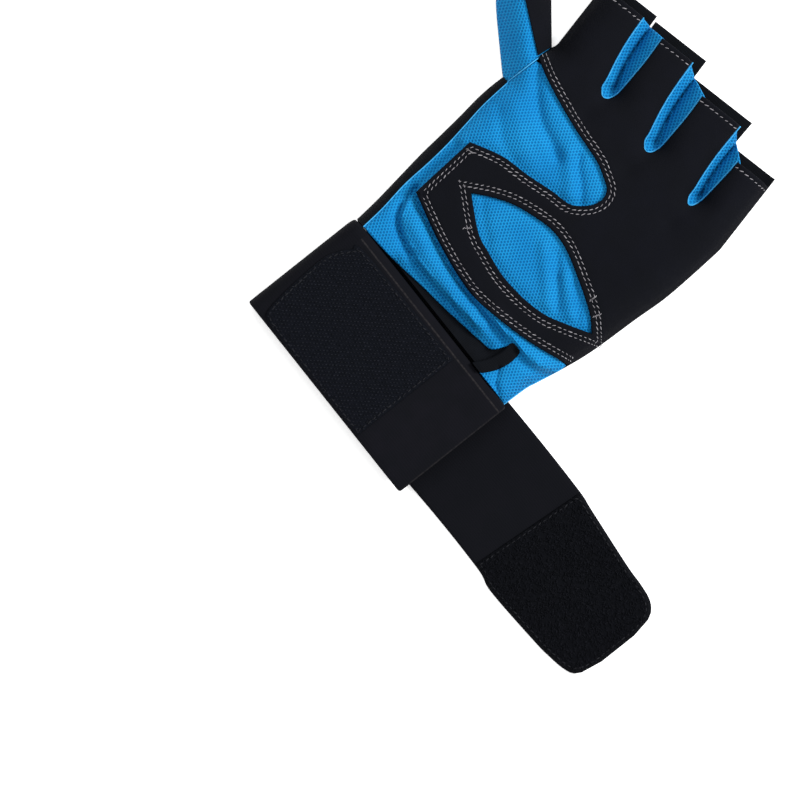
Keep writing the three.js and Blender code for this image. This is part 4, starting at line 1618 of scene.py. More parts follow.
class Sewing(GeometryTree):
    """Lays rows of stitches along paths."""

    def __init__(self) -> None:
        """Builds the tree."""
        super().__init__(
            "stitch_row", "Pitch", "Stitch Length", "Thread Radius", "Slant", "Jitter", "Seed", "Material")
        board, start = self.board, self.start
        walk = {"Curve": self.curve(), "Length": start["Pitch"]}
        rows = board.add("GeometryNodeResampleCurve", walk, mode="LENGTH")
        spots = board.add("GeometryNodeCurveToPoints", {0: rows.outputs[0]}, mode="EVALUATED")
        tangent = {"Vector": spots.outputs["Tangent"]}
        facing = board.add("FunctionNodeAlignRotationToVector", tangent, axis="X")
        slant = board.add("ShaderNodeCombineXYZ", {2: self.jittered("Slant", "Jitter")})
        turns = {"Rotation": facing.outputs[0], "Rotate By": slant.outputs[0]}
        turned = board.add("FunctionNodeRotateEuler", turns, space="LOCAL")
        half = board.maths("MULTIPLY", start["Stitch Length"], 0.5)
        flat = board.maths("MULTIPLY", start["Thread Radius"], 0.8)
        size = board.add("ShaderNodeCombineXYZ", {0: half, 1: start["Thread Radius"], 2: flat})
        vary = board.random(0.72, 1.12, board.maths("ADD", start["Seed"], 5.0))
        self.close_with_beads(spots.outputs[0], turned.outputs[0], size, (8, 5), vary)

    def rows(self, name: str, paths: list, thread: Cloth, stitch: Stitch) -> bpy.types.Object:
        """Sews along paths.

        Args:
            name: the piece's name.
            paths: arrays of points in millimetres.
            thread: the thread's finish.
            stitch: the kind of stitch.

        Returns:
            The stitches as one object.
        """
        return self.grow(name, np.vstack(paths), line_edges(paths), {
            "Pitch": stitch.pitch * METRES,
            "Stitch Length": stitch.length * METRES,
            "Thread Radius": stitch.radius * METRES,
            "Slant": stitch.slant,
            "Jitter": stitch.jitter,
            "Seed": stitch.seed,
            "Material": thread.material,
        })


class SeamRoll(GeometryTree):
    """Lays thin rolls of turned cloth along seams."""

    def __init__(self) -> None:
        """Builds the tree."""
        super().__init__("seam_roll", "Roll Radius", "Material")
        circle = {"Resolution": 8, "Radius": self.start["Roll Radius"]}
        ring = self.board.add("GeometryNodeCurvePrimitiveCircle", circle)
        profile = {"Curve": self.curve(), "Profile Curve": ring.outputs[0], "Fill Caps": True}
        self.close(self.board.add("GeometryNodeCurveToMesh", profile))

    def along(self, name: str, paths: list, cloth: Cloth, radius: float) -> bpy.types.Object:
        """Lays rolls of a cloth along paths in millimetres, with half their thickness as radius."""
        values = {"Roll Radius": radius * METRES, "Material": cloth.material}
        return self.grow(name, np.vstack(paths), line_edges(paths), values)


@dataclass(frozen=True)
class Fibre:
    """One tape's fibres.

    Attributes:
        length: half a fibre's length in millimetres.
        turn: its direction across the tape, in radians.
        tilt: how far fibres stand up.
    """

    length: float
    radius: float
    turn: float
    jitter: float
    tilt: float
    seed: int


class Pile(GeometryTree):
    """Scatters short fibres over the hook and loop tapes."""

    def __init__(self) -> None:
        """Builds the tree for both tapes."""
        super().__init__(
            "tape_pile", "Fibre Length", "Fibre Radius", "Turn", "Turn Jitter", "Tilt", "Seed", "Material")
        board, start = self.board, self.start
        spots = board.add("GeometryNodeMeshToPoints", {0: start["Geometry"]})
        lowest = board.maths("MULTIPLY", start["Tilt"], -1.0)
        tilt = board.random(lowest, start["Tilt"], board.maths("ADD", start["Seed"], 3.0))
        facing = board.add("ShaderNodeCombineXYZ", {1: tilt, 2: self.jittered("Turn", "Turn Jitter")})
        radius = start["Fibre Radius"]
        size = board.add("ShaderNodeCombineXYZ", {0: start["Fibre Length"], 1: radius, 2: radius})
        vary = board.random(0.7, 1.3, start["Seed"])
        self.close_with_beads(spots.outputs[0], facing.outputs[0], size, (5, 4), vary)

    def scatter(self, name: str, spots: np.ndarray, cloth: Cloth, fibre: Fibre) -> bpy.types.Object:
        """Puts a fibre on every spot.

        Args:
            name: the piece's name.
            spots: rows of x, y and z in millimetres.
            cloth: the fibres' finish.
            fibre: their shape and direction.

        Returns:
            The fibres as one object.
        """
        return self.grow(name, spots, [], {
            "Fibre Length": fibre.length * METRES,
            "Fibre Radius": fibre.radius * METRES,
            "Turn": fibre.turn,
            "Turn Jitter": fibre.jitter,
            "Tilt": fibre.tilt,
            "Seed": fibre.seed,
            "Material": cloth.material,
        })


@dataclass
class Workshop:
    """What every sub-assembly is made with."""

    form: GloveForm
    finishes: Finishes
    sewing: Sewing
    rolls: SeamRoll
    pile: Pile

    def dress(self, piece: bpy.types.Object, cloth: Cloth, *nodes: str) -> None:
        """Gives a piece its material and body, and hides the solids it stands for.

        Args:
            piece: the finished piece.
            cloth: its finish.
            nodes: the solids that it stands for.
        """
        piece.data.materials.clear()
        piece.data.materials.append(cloth.material)
        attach(piece, BODY)
        if nodes:
            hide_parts(*nodes)
        LOG.info("%s: %d faces", piece.name, len(piece.data.polygons))

    def cut(self, name: str, cloth: Cloth, node: str, sheet: ClothSheet, faces: tuple) -> None:
        """Cuts a sheet between two height functions and dresses it for the solid it stands for."""
        self.dress(make_piece(name, sheet.solid(*faces)), cloth, node)


@dataclass
class Palm:
    """The blue mesh palm with the suede overlay and its double stitching.

    Attributes:
        thread_seat: share of the groove in which the thread lies.
        covered: shares along the palm between which the suede covers the right edge.
        cover: how far the mesh then ends inside that edge, past the edge's fade.
        tacks: side, along and direction of each bar tack.
    """

    shop: Workshop
    border_rows: tuple = (1.7, 3.2)
    lens_rows: tuple = (2.2, 3.65)
    groove_depth: float = 0.28
    groove_width: float = 0.5
    thread_seat: float = 0.55
    covered: tuple = (0.3, 0.93)
    cover: float = 2.5
    seam_clearance: float = 0.1
    binding_half: float = 2.7
    binding_tip: tuple = (0.6, 0.168)
    hem_inset: float = 2.0
    hem_clear: float = 0.9
    tack_half: float = 1.3
    tack_rise: float = 0.15
    tacks: tuple = (
        (-0.319, 0.296, 0.9), (-0.755, 0.481, 0.3), (0.669, 0.498, 1.5), (0.786, 0.47, 1.2),
    )
    double_row: Stitch = Stitch()
    tack_stitch: Stitch = Stitch(pitch=0.85, length=1.5, radius=0.17, slant=0.6, seed=4)

    def build(self) -> None:
        """Builds and dresses every piece of the palm."""
        self.mesh()
        self.suede()
        self.binding()
        self.stitches()

    def mesh(self) -> None:
        """Blue mesh from the thumb-side seam to the little-finger side."""
        form = self.shop.form
        right = form.right_edge
        along = form.along(right)
        first, last = self.covered
        inset = np.array([form.edge_fade + self.cover, 0.0])
        seam = form.palm_curve(THUMB_SIDE_SEAM)[::-1] + np.array([self.seam_clearance, 0.0])
        outline = np.vstack([
            form.palm_curve(WRIST_BORDER),
            form.palm_curve(BINDING_LINE)[::-1],
            right[along < form.open_side],
            form.on_palm([(0.935, 0.268), (0.8, 0.262)]),
            right[(along > first) & (along < last)] - inset,
            form.on_palm([(0.8, 0.93), (-0.75, 0.93), (-0.88, 0.9), (-0.975, 0.88)]),
            seam,
        ])
        faces = (form.puckered(0.0), form.puckered(form.sizes.mesh_wall))
        sheet = ClothSheet(outline, spacing=1.1)
        self.shop.cut("palm_mesh_cloth", self.shop.finishes.blue_mesh, "palm_mesh", sheet, faces)

    def stitch_paths(self) -> list:
        """Paths of the double rows along the suede's border and lens."""
        form = self.shop.form
        lower = even_path(form.palm_curve(SUEDE_LOWER_BORDER)[::-1], STEP)
        bay = even_path(form.palm_curve(BAY_BORDER, form.bay_steps), STEP)
        tongue_end = even_path(np.array([lower[-1], bay[0]]), STEP)
        lens = [even_path(form.palm_curve(rows), STEP) for rows in (LENS_UPPER, LENS_LOWER)]
        border = [mitred([lower, tongue_end, bay], -offset, False) for offset in self.border_rows]
        return border + [mitred(lens, offset, True) for offset in self.lens_rows]

    def suede_outline(self) -> np.ndarray:
        """Outline of the suede overlay."""
        form = self.shop.form
        suede_from = 0.29
        gaps = []
        for gap in reversed(Gap):
            left, right = gap.value[2:]
            gaps.append(form.to_end(form.gap_path(gap, 2), right)[::-1])
            gaps.append(form.to_end(form.gap_path(gap, 1), left))
        return np.vstack([
            form.palm_curve(SUEDE_LOWER_BORDER),
            form.right_edge[form.along(form.right_edge) > suede_from],
            form.to_end(form.little_edge, Finger.LITTLE)[1:],
            *gaps,
            form.to_end(form.index_edge, Finger.INDEX)[::-1],
            form.palm_curve(BAY_BORDER, form.bay_steps)[::-1],
        ])

    def hem_paths(self) -> list:
        """Paths of the single rows that hem the finger ends."""
        form = self.shop.form
        outline = self.suede_outline()
        across = np.array([form.outward[1], -form.outward[0]])
        reach = np.arange(-18.0, 18.0, 0.5)
        paths = []
        for finger in Finger:
            path = form.finger_end(finger, -self.hem_inset) + reach[:, None] * across
            clear = nearest(path, [closed_path(outline)]) > self.hem_clear
            breaks = np.nonzero(~(inside_ring(path, outline) & clear))[0]
            centre = len(path) // 2
            first = breaks[breaks < centre].max(initial=-1) + 1
            last = breaks[breaks > centre].min(initial=len(path))
            paths.append(path[first:last])
        return paths

    def suede(self) -> None:
        """Suede overlay with its lens, bay, tongue and finger strips."""
        form = self.shop.form
        rows = [*self.stitch_paths(), *self.hem_paths()]
        face = form.height(Layer.OVERLAY, form.sizes.suede_wall)

        def grooved(points: np.ndarray) -> np.ndarray:
            """Upper face, drawn in along the stitches."""
            return face(points) - self.groove_depth * bell(nearest(points, rows), self.groove_width)

        rings = (0.3, 0.7, 1.3, 1.9, 2.4, 3.2, 4.0, 4.7)
        sheet = ClothSheet(self.suede_outline(), [form.lens()], 1.4, rings)
        faces = (form.height(Layer.OVERLAY, 0.0), grooved)
        self.shop.cut("palm_suede_cloth", self.shop.finishes.suede, "palm_suede", sheet, faces)

    def stitches(self) -> None:
        """Grey double rows along the suede's border and lens, hem rows and bar tacks."""
        form = self.shop.form
        face = form.height(Layer.OVERLAY, form.sizes.suede_wall)
        lowered = self.groove_depth * self.thread_seat
        rows = [*self.stitch_paths(), *self.hem_paths()]
        rows = [np.column_stack([path, face(path) - lowered]) for path in rows]
        tacks = []
        for side, along, turn in self.tacks:
            way = np.array([math.cos(turn), math.sin(turn)])
            reach = np.linspace(-self.tack_half, self.tack_half, 7)
            path = form.on_palm([(side, along)])[0] + reach[:, None] * way
            tacks.append(np.column_stack([path, face(path) - lowered + self.tack_rise]))
        thread = self.shop.finishes.grey_thread
        piece = self.shop.sewing.rows("palm_stitching", rows, thread, self.double_row)
        self.shop.dress(piece, thread)
        piece = self.shop.sewing.rows("palm_bar_tacks", tacks, thread, self.tack_stitch)
        self.shop.dress(piece, thread)

    def binding(self) -> None:
        """Black tape that binds the wrist slit."""
        form = self.shop.form
        line = form.palm_curve((*BINDING_LINE, self.binding_tip))
        taper = np.sqrt(1 - np.clip(np.linspace(-2.2, 0.97, len(line)), 0, 1) ** 2)
        half = np.column_stack([self.binding_half * taper, np.zeros(len(line))])
        outline = np.vstack([line + half, (line - half)[::-1]])
        base = form.sizes.second_layer
        faces = (form.height(Layer.LINING, base), form.height(Layer.LINING, base + 1.0))
        sheet = ClothSheet(outline, spacing=1.0, rounding=1.0)
        self.shop.cut("slit_binding_tape", self.shop.finishes.stretch, "slit_binding", sheet, faces)


@dataclass
class Fingers:
    """Side walls between the finger stubs and the thumb stub.

    Attributes:
        under_suede: how far the side walls reach under the suede.
        thumb_split: share of the thumb's width that its suede covers.
        roll_sink: share of that by which they lie in the cloth.
        crease_from: distances from the finger roots over which it begins.
    """

    shop: Workshop
    under_suede: float = 1.5
    thumb_split: float = 0.52
    thumb_clearance: float = 0.1
    roll_radius: float = 0.27
    roll_sink: float = 0.3
    crease_depth: float = 1.3
    crease_width: float = 0.55
    crease_from: tuple = (3.0, 6.0)
    ridge_height: float = 0.5
    ridge_place: float = 1.7
    ridge_width: float = 1.1

    def build(self) -> None:
        """Builds the side walls and the thumb."""
        for gap in Gap:
            self.side_walls(gap)
        self.seam_edges()
        self.thumb()

    def edges(self, gap: Gap, inset: float) -> tuple[np.ndarray, np.ndarray]:
        """The suede's left and right edges at a gap, moved into the gap."""
        form = self.shop.form
        left, right = gap.value[2:]
        return (
            form.to_end(form.gap_path(gap, 1, inset), left),
            form.to_end(form.gap_path(gap, 2, -inset), right),
        )

    def side_walls(self, gap: Gap) -> None:
        """Blue mesh walls on both sides of one gap."""
        form = self.shop.form
        left, right = self.edges(gap, -self.under_suede)
        ends = [form.finger_end(finger) for finger in gap.value[2:]]
        crease = clip_path(form.crease_path(gap), (ends[0] + ends[1]) / 2, form.outward)
        tip = np.array([form.across(gap.value[0]), form.sizes.finger_root - self.under_suede])
        sheet = ClothSheet(np.vstack([left[::-1], [tip], right, crease[-1:]]), spacing=0.7)
        faces = (self.creased(gap, 0.0), self.creased(gap, form.sizes.mesh_wall))
        node = f"fourchette_{gap.name.lower()}"
        self.shop.cut(node + "_cloth", self.shop.finishes.blue_mesh, node, sheet, faces)

    def creased(self, gap: Gap, wall: float) -> HeightAt:
        """Makes a side wall's height function, with its sharp crease and the ridge beside it.

        Args:
            gap: which gap.
            wall: thickness above the wall's underside.

        Returns:
            Function from points to heights.
        """
        form = self.shop.form
        level = form.height(Layer.LINING, wall)
        line = form.gap_path(gap, 3)
        first, last = self.crease_from

        def at(points: np.ndarray) -> np.ndarray:
            """Heights at points."""
            away, side = path_distance(points, line)
            root = form.sizes.finger_root
            shown = ease(points[:, 1], root + first, root + last)
            crease = self.crease_depth * bell(away, self.crease_width)
            profile = bell(away - self.ridge_place, self.ridge_width)
            ridge = np.where(side > 0, self.ridge_height, 0.0) * profile
            return level(points) + (ridge - crease) * shown

        return at

    def seam_edges(self) -> None:
        """Thin rolls of mesh along the finger gaps, the thumb-side seam and the free right edge, in a lighter
        blue that is a painted highlight.
        """
        form = self.shop.form
        radius = self.roll_radius
        wall = form.sizes.mesh_wall
        paths = []
        for gap in Gap:
            left, right = self.edges(gap, radius)
            path = np.vstack([left[::-1], right])
            paths.append((even_path(path, FINE_STEP), self.creased(gap, wall)))
        inward = np.array([radius, 0.0])
        mesh_top = form.puckered(wall)
        seam = form.palm_curve(THUMB_SIDE_SEAM) + inward
        paths.append((even_path(seam, STEP), mesh_top))
        free = form.right_edge[form.along(form.right_edge) < form.open_side] - inward
        paths.append((even_path(free, STEP), mesh_top))
        joint = form.on_palm([THUMB_SIDE_SEAM[-1], (-0.981, 0.9)])
        paths.append((even_path(joint, FINE_STEP), form.height(Layer.LINING, wall)))
        rows = [np.column_stack([path, top(path) - radius * self.roll_sink]) for path, top in paths]
        cloth = self.shop.finishes.seam_highlight_cloth
        self.shop.dress(self.shop.rolls.along("mesh_seam_edges", rows, cloth, radius), cloth)

    def thumb(self) -> None:
        """Thumb stub: mesh all over and suede on the side next to the index finger."""
        form = self.shop.form
        sizes = form.sizes
        nudge = np.array([-self.thumb_clearance, 0.0])
        outline = np.vstack([
            form.on_palm([THUMB_SIDE_SEAM[-1]]) + nudge,
            form.thumb_lower,
            [form.thumb_end, form.thumb_crotch + nudge],
        ])
        patch = np.vstack([
            form.thumb_end - form.thumb_up * self.thumb_split * sizes.thumb_width,
            form.thumb_end,
            form.thumb_crotch + nudge,
            form.on_palm([(-0.995, 0.897)])[0] + nudge,
        ])
        finishes = self.shop.finishes
        for kind, cloth, ring, base, wall in (
            ("mesh", finishes.blue_mesh, outline, 0.0, sizes.mesh_wall),
            ("suede", finishes.suede, patch, sizes.second_layer, sizes.suede_wall),
        ):
            faces = (form.height(Layer.LINING, base), form.height(Layer.LINING, base + wall))
            sheet = ClothSheet(ring, spacing=1.3)
            self.shop.cut(f"thumb_{kind}_cloth", cloth, f"thumb_{kind}", sheet, faces)


@dataclass
class Back:
    """Black stretch back of the hand, with the strip that wraps up on the thumb side.

    Attributes:
        strip_fullness: how squarely it bends, less than 1 being squarer.
        tuck: steps right, along and down by which the strip runs in under the strap.
    """

    shop: Workshop
    slit: float = 0.8
    stations: int = 70
    turns: int = 9
    strip_wall: float = 1.0
    strip_girth: float = 12.0
    strip_fullness: float = 0.9
    under_seam: float = 0.4
    tuck: tuple = ((2.6, -1.6, -0.8), (1.4, -0.5, -0.4))

    def build(self) -> None:
        """Builds the back as one piece."""
        form = self.shop.form
        over = form.sizes.back_overhang
        half = np.array([self.slit / 2, 0.0])
        edges = []
        for gap, crease in zip(reversed(Gap), reversed(form.crease_paths)):
            left, right = gap.value[2:]
            edges.append(form.to_end(crease + half, right, over)[::-1])
            edges.append(form.to_end(crease - half, left, over))
        outline = np.vstack([
            form.right_edge,
            form.to_end(form.little_edge, Finger.LITTLE, over)[1:],
            *edges,
            form.to_end(form.index_edge, Finger.INDEX, over)[::-1],
            [form.thumb_crotch, form.thumb_end],
            form.thumb_lower[::-1],
            form.left_edge[::-1][1:],
        ])

        def inner(points: np.ndarray) -> np.ndarray:
            """Height of the back's inner face."""
            return form.back_face(points) + form.sizes.back_wall

        data = ClothSheet(outline, spacing=2.2).solid(form.back_face, inner)
        piece = make_piece("back_cloth", data.joined(self.side_strip()))
        self.shop.dress(piece, self.shop.finishes.stretch, "back_panel")

    def walk(self, rows: tuple) -> np.ndarray:
        """Points at the stations along a curve on the palm."""
        path = even_path(self.shop.form.palm_curve(rows, 120), STEP)
        places = np.linspace(0, 1, self.stations)
        steps = np.linspace(0, 1, len(path))
        return np.stack([np.interp(places, steps, column) for column in path.T], axis=1)

    def side_strip(self) -> MeshData:
        """Strip that turns up round the thumb side to the blue mesh's seam."""
        form = self.shop.form
        edge = self.walk(LEFT_OUTLINE)
        top = self.walk(THUMB_SIDE_SEAM)
        over = form.height(Layer.LINING, form.sizes.mesh_wall)
        ceiling = over(top + np.array([self.under_seam, 0.0]))
        floor = form.back_underside(form.along(edge)) + form.rim_rise
        tuck = np.array(self.tuck)
        edge = np.vstack([edge[0] + tuck[:, :2], edge])
        top = np.vstack([top[0] + tuck[:, :2], top])
        floor = np.concatenate([floor[0] - tuck[:, 2] * 0.5, floor])
        ceiling = np.concatenate([ceiling[0] + tuck[:, 2], ceiling])
        turns = np.linspace(0, 1, self.turns)
        bend = 1 - np.cos(turns * math.pi / 2)
        rise = np.sin(turns * math.pi / 2) ** self.strip_fullness
        sections = []
        for start, end, low, high in zip(edge, top, floor, ceiling):
            x = start[0] + (end[0] - start[0]) * bend
            y = start[1] + (end[1] - start[1]) * bend
            outside = np.column_stack([x, y, low + (high - low) * rise])
            way = np.gradient(outside, axis=0)
            inward = flat_rows(way[:, 2], 0.0, -way[:, 0])
            inward /= np.maximum(np.linalg.norm(inward, axis=1), TINY)[:, None]
            sections.append(np.vstack([outside, (outside + inward * self.strip_wall)[::-1]]))
        across = np.concatenate([turns, turns[::-1]]) * self.strip_girth
        data = loft(np.array(sections), across, edge[:, 1])
        data.faces = [face[::-1] for face in data.faces]
        return data


@dataclass
class Cuff:
    """Black stretch tube inside the strap, with the part that runs on under the mesh.

    Attributes:
        tuck_from: distances before the strap's edge between which it does.
        hem_inset: how far the hem's lip is drawn in and how far it ends inside the edge.
    """

    shop: Workshop
    edge_tuck: float = 0.9
    tuck_from: tuple = (5.0, 1.0)
    hem_inset: float = 0.4
    hem_bulge: float = 0.25
    right_gap: float = 0.3
    least_bend: float = 0.5
    apron_drop: float = 0.25
    apron: tuple = (
        (-0.77, -0.015), (0.79, -0.015), (0.79, 0.12), (0.62, 0.16), (0.4, 0.13), (-0.3, 0.08),
        (-0.77, 0.05),
    )

    def build(self) -> None:
        """Builds the cuff as one piece."""
        sizes = self.shop.form.sizes
        wall = sizes.cuff_wall
        edge = sizes.band_edge
        first, last = self.tuck_from
        places = np.linspace(-edge + self.hem_inset, edge, 20)
        tucked = [self.edge_tuck * float(ease(y, edge - first, edge - last)) for y in places]
        stations = [
            *zip(places[::-1], tucked[::-1]),
            (-edge, self.hem_inset),
            (-edge - self.hem_bulge, wall / 2),
            *((y, wall + tuck) for y, tuck in zip(places, tucked)),
        ]
        rings = [self.ring(inset) for _, inset in stations]
        sections = np.array([flat_rows(ring[:, 0], y, ring[:, 1]) for ring, (y, _) in zip(rings, stations)])
        points = sections.reshape(-1, 3)
        data = MeshData(points, skin(len(stations), len(rings[0]), True), points[:, :2])
        piece = make_piece("cuff_cloth", data.joined(self.apron_sheet()))
        self.shop.dress(piece, self.shop.finishes.stretch, "cuff")

    def ring(self, inset: float) -> np.ndarray:
        """Draws the tube's section.

        Args:
            inset: how far it is moved inward.

        Returns:
            Rows of x and z.
        """
        sizes = self.shop.form.sizes
        angles = np.linspace(-math.pi / 2, math.pi / 2, 15)
        side = sizes.band_length / 2 - sizes.webbing_thickness - sizes.seam_gap
        fold = sizes.band_fold - sizes.webbing_thickness - sizes.seam_gap
        middle = (sizes.strap_stack + sizes.cuff_top) / 2
        rise = (sizes.cuff_top - sizes.strap_stack) / 2
        bend = max(fold - inset, self.least_bend)
        out = bend * np.cos(angles)
        up = (rise - inset) * np.sin(angles)
        right = np.stack([side - self.right_gap - inset - bend + out, middle + up], axis=1)
        left = np.stack([-side + inset + bend - out, middle - up], axis=1)
        top = np.linspace(right[-1, 0], left[0, 0], 40)[1:-1]
        bottom = np.linspace(left[-1, 0], right[0, 0], 40)[1:-1]
        return np.vstack([
            right, flat_rows(top, middle + rise - inset), left, flat_rows(bottom, middle - rise + inset),
        ])

    def apron_sheet(self) -> MeshData:
        """The cuff's palm side, which shows between the strap and the blue mesh."""
        form = self.shop.form
        top = form.height(Layer.LINING, -self.apron_drop)
        sheet = ClothSheet(form.on_palm(self.apron), spacing=1.6)
        return sheet.solid(lambda points: top(points) - form.sizes.cuff_wall, top)


@dataclass
class Strap:
    """The elastic wrist strap with its hook and loop tapes.

    Attributes:
        edge_ease: how far the palm side's upper edge stands past the lower layer's.
        ripple: height of the palm side's ripples, and their turns along and across in radians.
        flat_station: number of a flat section, whose places across map the cloth.
        hook_rise: lowest and highest place of the hooks over the ground cloth.
        pile_clear: distance of the loops and of the hooks from their tape's edge.
    """

    shop: Workshop
    rounding: float = 0.8
    edge_ease: float = 0.75
    curl_from: float = 22.2
    curl_width: float = 3.4
    curl_drop: float = 1.1
    curl_power: float = 1.3
    ripple: tuple = (0.12, 0.21, 0.13)
    flat_station: int = 30
    loop_pitch: float = 1.3
    loop_turn: float = math.radians(48)
    loop_scatter: float = 0.07
    loop_rise: float = 0.1
    hook_spots: int = 5200
    hook_rise: tuple = (0.0, 0.35)
    pile_clear: tuple = (0.55, 0.5)
    row_inset: float = 1.2
    row_rise: float = 0.12
    tape_row: Stitch = Stitch(pitch=2.4, length=2.0, radius=0.26, slant=0.1, seed=3)

    def build(self) -> None:
        """Builds the strap, its tapes, their pile and their stitching."""
        self.webbing()
        self.loop_tape()
        self.hook_tape()
        self.stitches()

    def edges_at(self, x: np.ndarray) -> tuple[np.ndarray, np.ndarray]:
        """Finds the lower layer's two edges.

        Args:
            x: places along X.

        Returns:
            The lower and the upper edge there.
        """
        sizes = self.shop.form.sizes
        rows = np.array(LOWER_LAYER)
        place = rows[:, 0] * sizes.band_length + rows[:, 1] * sizes.tail_length
        edges = smooth_path(np.column_stack([place, rows[:, 2:] * sizes.webbing_width]), 240)
        upper = np.interp(x, edges[:, 0], edges[:, 1])
        lower = np.interp(x, edges[:, 0], edges[:, 2])
        return lower, upper

    def stations(self) -> np.ndarray:
        """Sets the webbing's sections along the palm side, the fold, the underside and the tail.

        Returns:
            Rows of x, z, the outward direction's x and z, both edges, curl and ripple.
        """
        sizes = self.shop.form.sizes
        half = sizes.webbing_thickness / 2
        right = sizes.band_length / 2
        tail = right + sizes.tail_length
        middle = sizes.band_height / 2
        bend = -right + sizes.band_fold
        _, _, high, low = LOWER_LAYER[0]
        low *= sizes.webbing_width
        high *= sizes.webbing_width
        quarter = np.linspace(0, math.pi / 2, 7)
        corner = right - sizes.band_corner * (1 - np.cos(quarter))
        corner_drop = sizes.band_corner * (1 - np.sin(quarter))
        top_x = np.concatenate([corner, np.linspace(right - sizes.band_corner - 0.6, bend + 1, 58)])
        drop = np.zeros(len(top_x))
        drop[:len(quarter)] = corner_drop
        height, turns, _ = self.ripple
        top = flat_rows(
            top_x, sizes.band_height - half, 0.0, 1.0, low + drop, high + self.edge_ease - drop, 1.0,
            height * np.sin(top_x * turns),
        )
        angles = np.linspace(math.pi / 2, 3 * math.pi / 2, 25)
        fade = np.linspace(1, 0, len(angles))
        fold_x = bend + (sizes.band_fold - half) * np.cos(angles)
        fold_z = middle + (middle - half) * np.sin(angles)
        fold = flat_rows(
            fold_x, fold_z, np.cos(angles), np.sin(angles), low, high + self.edge_ease * fade, fade, 0.0)
        end_share = 1 - np.cos(np.linspace(0, math.pi / 2, 16))
        low_x = np.concatenate([np.linspace(bend + 1.5, tail - 14, 90), tail - 13.5 * (1 - end_share)])
        low_x = np.unique(np.round(np.concatenate([low_x, [tail]]), 3))
        under = flat_rows(low_x, half, 0.0, -1.0, *self.edges_at(low_x), 0.0, 0.0)
        return np.vstack([top, fold, under])

    def section(self, station: np.ndarray) -> np.ndarray:
        """Draws the webbing's section at a station.

        Args:
            station: one of the stations' rows.

        Returns:
            Rows of x, y and z.
        """
        x, z, out_x, out_z, low_edge, high_edge, curled, ripple = station
        half = self.shop.form.sizes.webbing_thickness / 2
        low = low_edge + self.rounding
        high = high_edge - self.rounding
        across = np.concatenate([np.linspace(0, 0.9, 24), np.linspace(0.915, 1, 6)])
        bends = np.linspace(math.pi / 2, -math.pi / 2, 7)[1:-1]
        round_y = self.rounding * np.cos(bends)
        round_z = half * np.sin(bends)
        y = np.concatenate([
            low + (high - low) * across, high + round_y, high + (low - high) * across, low - round_y,
        ])
        level = np.concatenate([np.full(len(across), half), round_z, np.full(len(across), -half), -round_z])
        curl = self.curl_drop * np.clip((y - self.curl_from) / self.curl_width, 0, 1) ** self.curl_power
        out = level + ripple * np.sin(y * self.ripple[2]) - curl * curled
        return np.column_stack([x + out_x * out, y, z + out_z * out])

    def webbing(self) -> None:
        """One strip: palm side, thumb-side fold, underside and tail."""
        stations = self.stations()
        sections = np.array([self.section(station) for station in stations])
        steps = np.hypot(np.diff(stations[:, 0]), np.diff(stations[:, 1]))
        along = np.concatenate([[0.0], np.cumsum(steps)])
        piece = make_piece("strap_webbing", loft(sections, sections[self.flat_station, :, 1], along), 60.0)
        turn_outward(piece)
        self.shop.dress(piece, self.shop.finishes.elastic, "wrist_strap")

    def loop_outline(self) -> np.ndarray:
        """The loop tape's outline on the strap's palm side."""
        sizes = self.shop.form.sizes
        rows = np.array(LOOP_TAPE_OUTLINE)
        x = sizes.loop_tape_end - rows[:, 0] * sizes.loop_tape_length
        y = sizes.loop_tape_shift + rows[:, 1] * sizes.loop_tape_width
        points = np.stack([x, y], axis=1)
        return np.vstack([points[:1], smooth_path(points[1:], 60)])

    def hook_outline(self) -> np.ndarray:
        """The hook tape's outline on the tail."""
        sizes = self.shop.form.sizes
        end = sizes.band_length / 2 + sizes.tail_length
        start = end - sizes.hook_tape_length
        round_end = end - 15.5 * (1 - np.sin(np.linspace(0, math.pi / 2, 14)))
        x = np.concatenate([np.linspace(start, end - 16, 20), round_end])
        lower, upper = self.edges_at(x)
        inset = sizes.hook_tape_inset
        slant = np.where(np.arange(len(x)) == 0, 1.7, 0.0)
        low = np.stack([x - slant - inset, lower + inset], axis=1)
        high = np.stack([x + slant - inset, upper - inset], axis=1)
        return np.vstack([low, high[::-1]])

    def ground(self, name: str, cloth: Cloth, node: str, outline: np.ndarray, base: float) -> None:
        """Cuts the ground cloth of a tape.

        Args:
            name: the piece's name.
            cloth: its finish.
            node: the solid that the tape stands for.
            outline: the tape's outline.
            base: height of what it lies on.
        """
        top = base + self.shop.form.sizes.tape_ground
        levels = (base + 0.02, top)
        faces = tuple(lambda points, level=level: np.full(len(points), level) for level in levels)
        sheet = ClothSheet(outline, spacing=2.4, rings=(0.4, 1.0), rounding=0.8)
        self.shop.cut(name, cloth, node, sheet, faces)

    def on_tape(self, spots: np.ndarray, outline: np.ndarray, clear: float) -> np.ndarray:
        """The spots that lie on a tape, clear of its edge."""
        inner = nearest(spots, [closed_path(outline)]) > clear
        return spots[inside_ring(spots, outline) & inner]

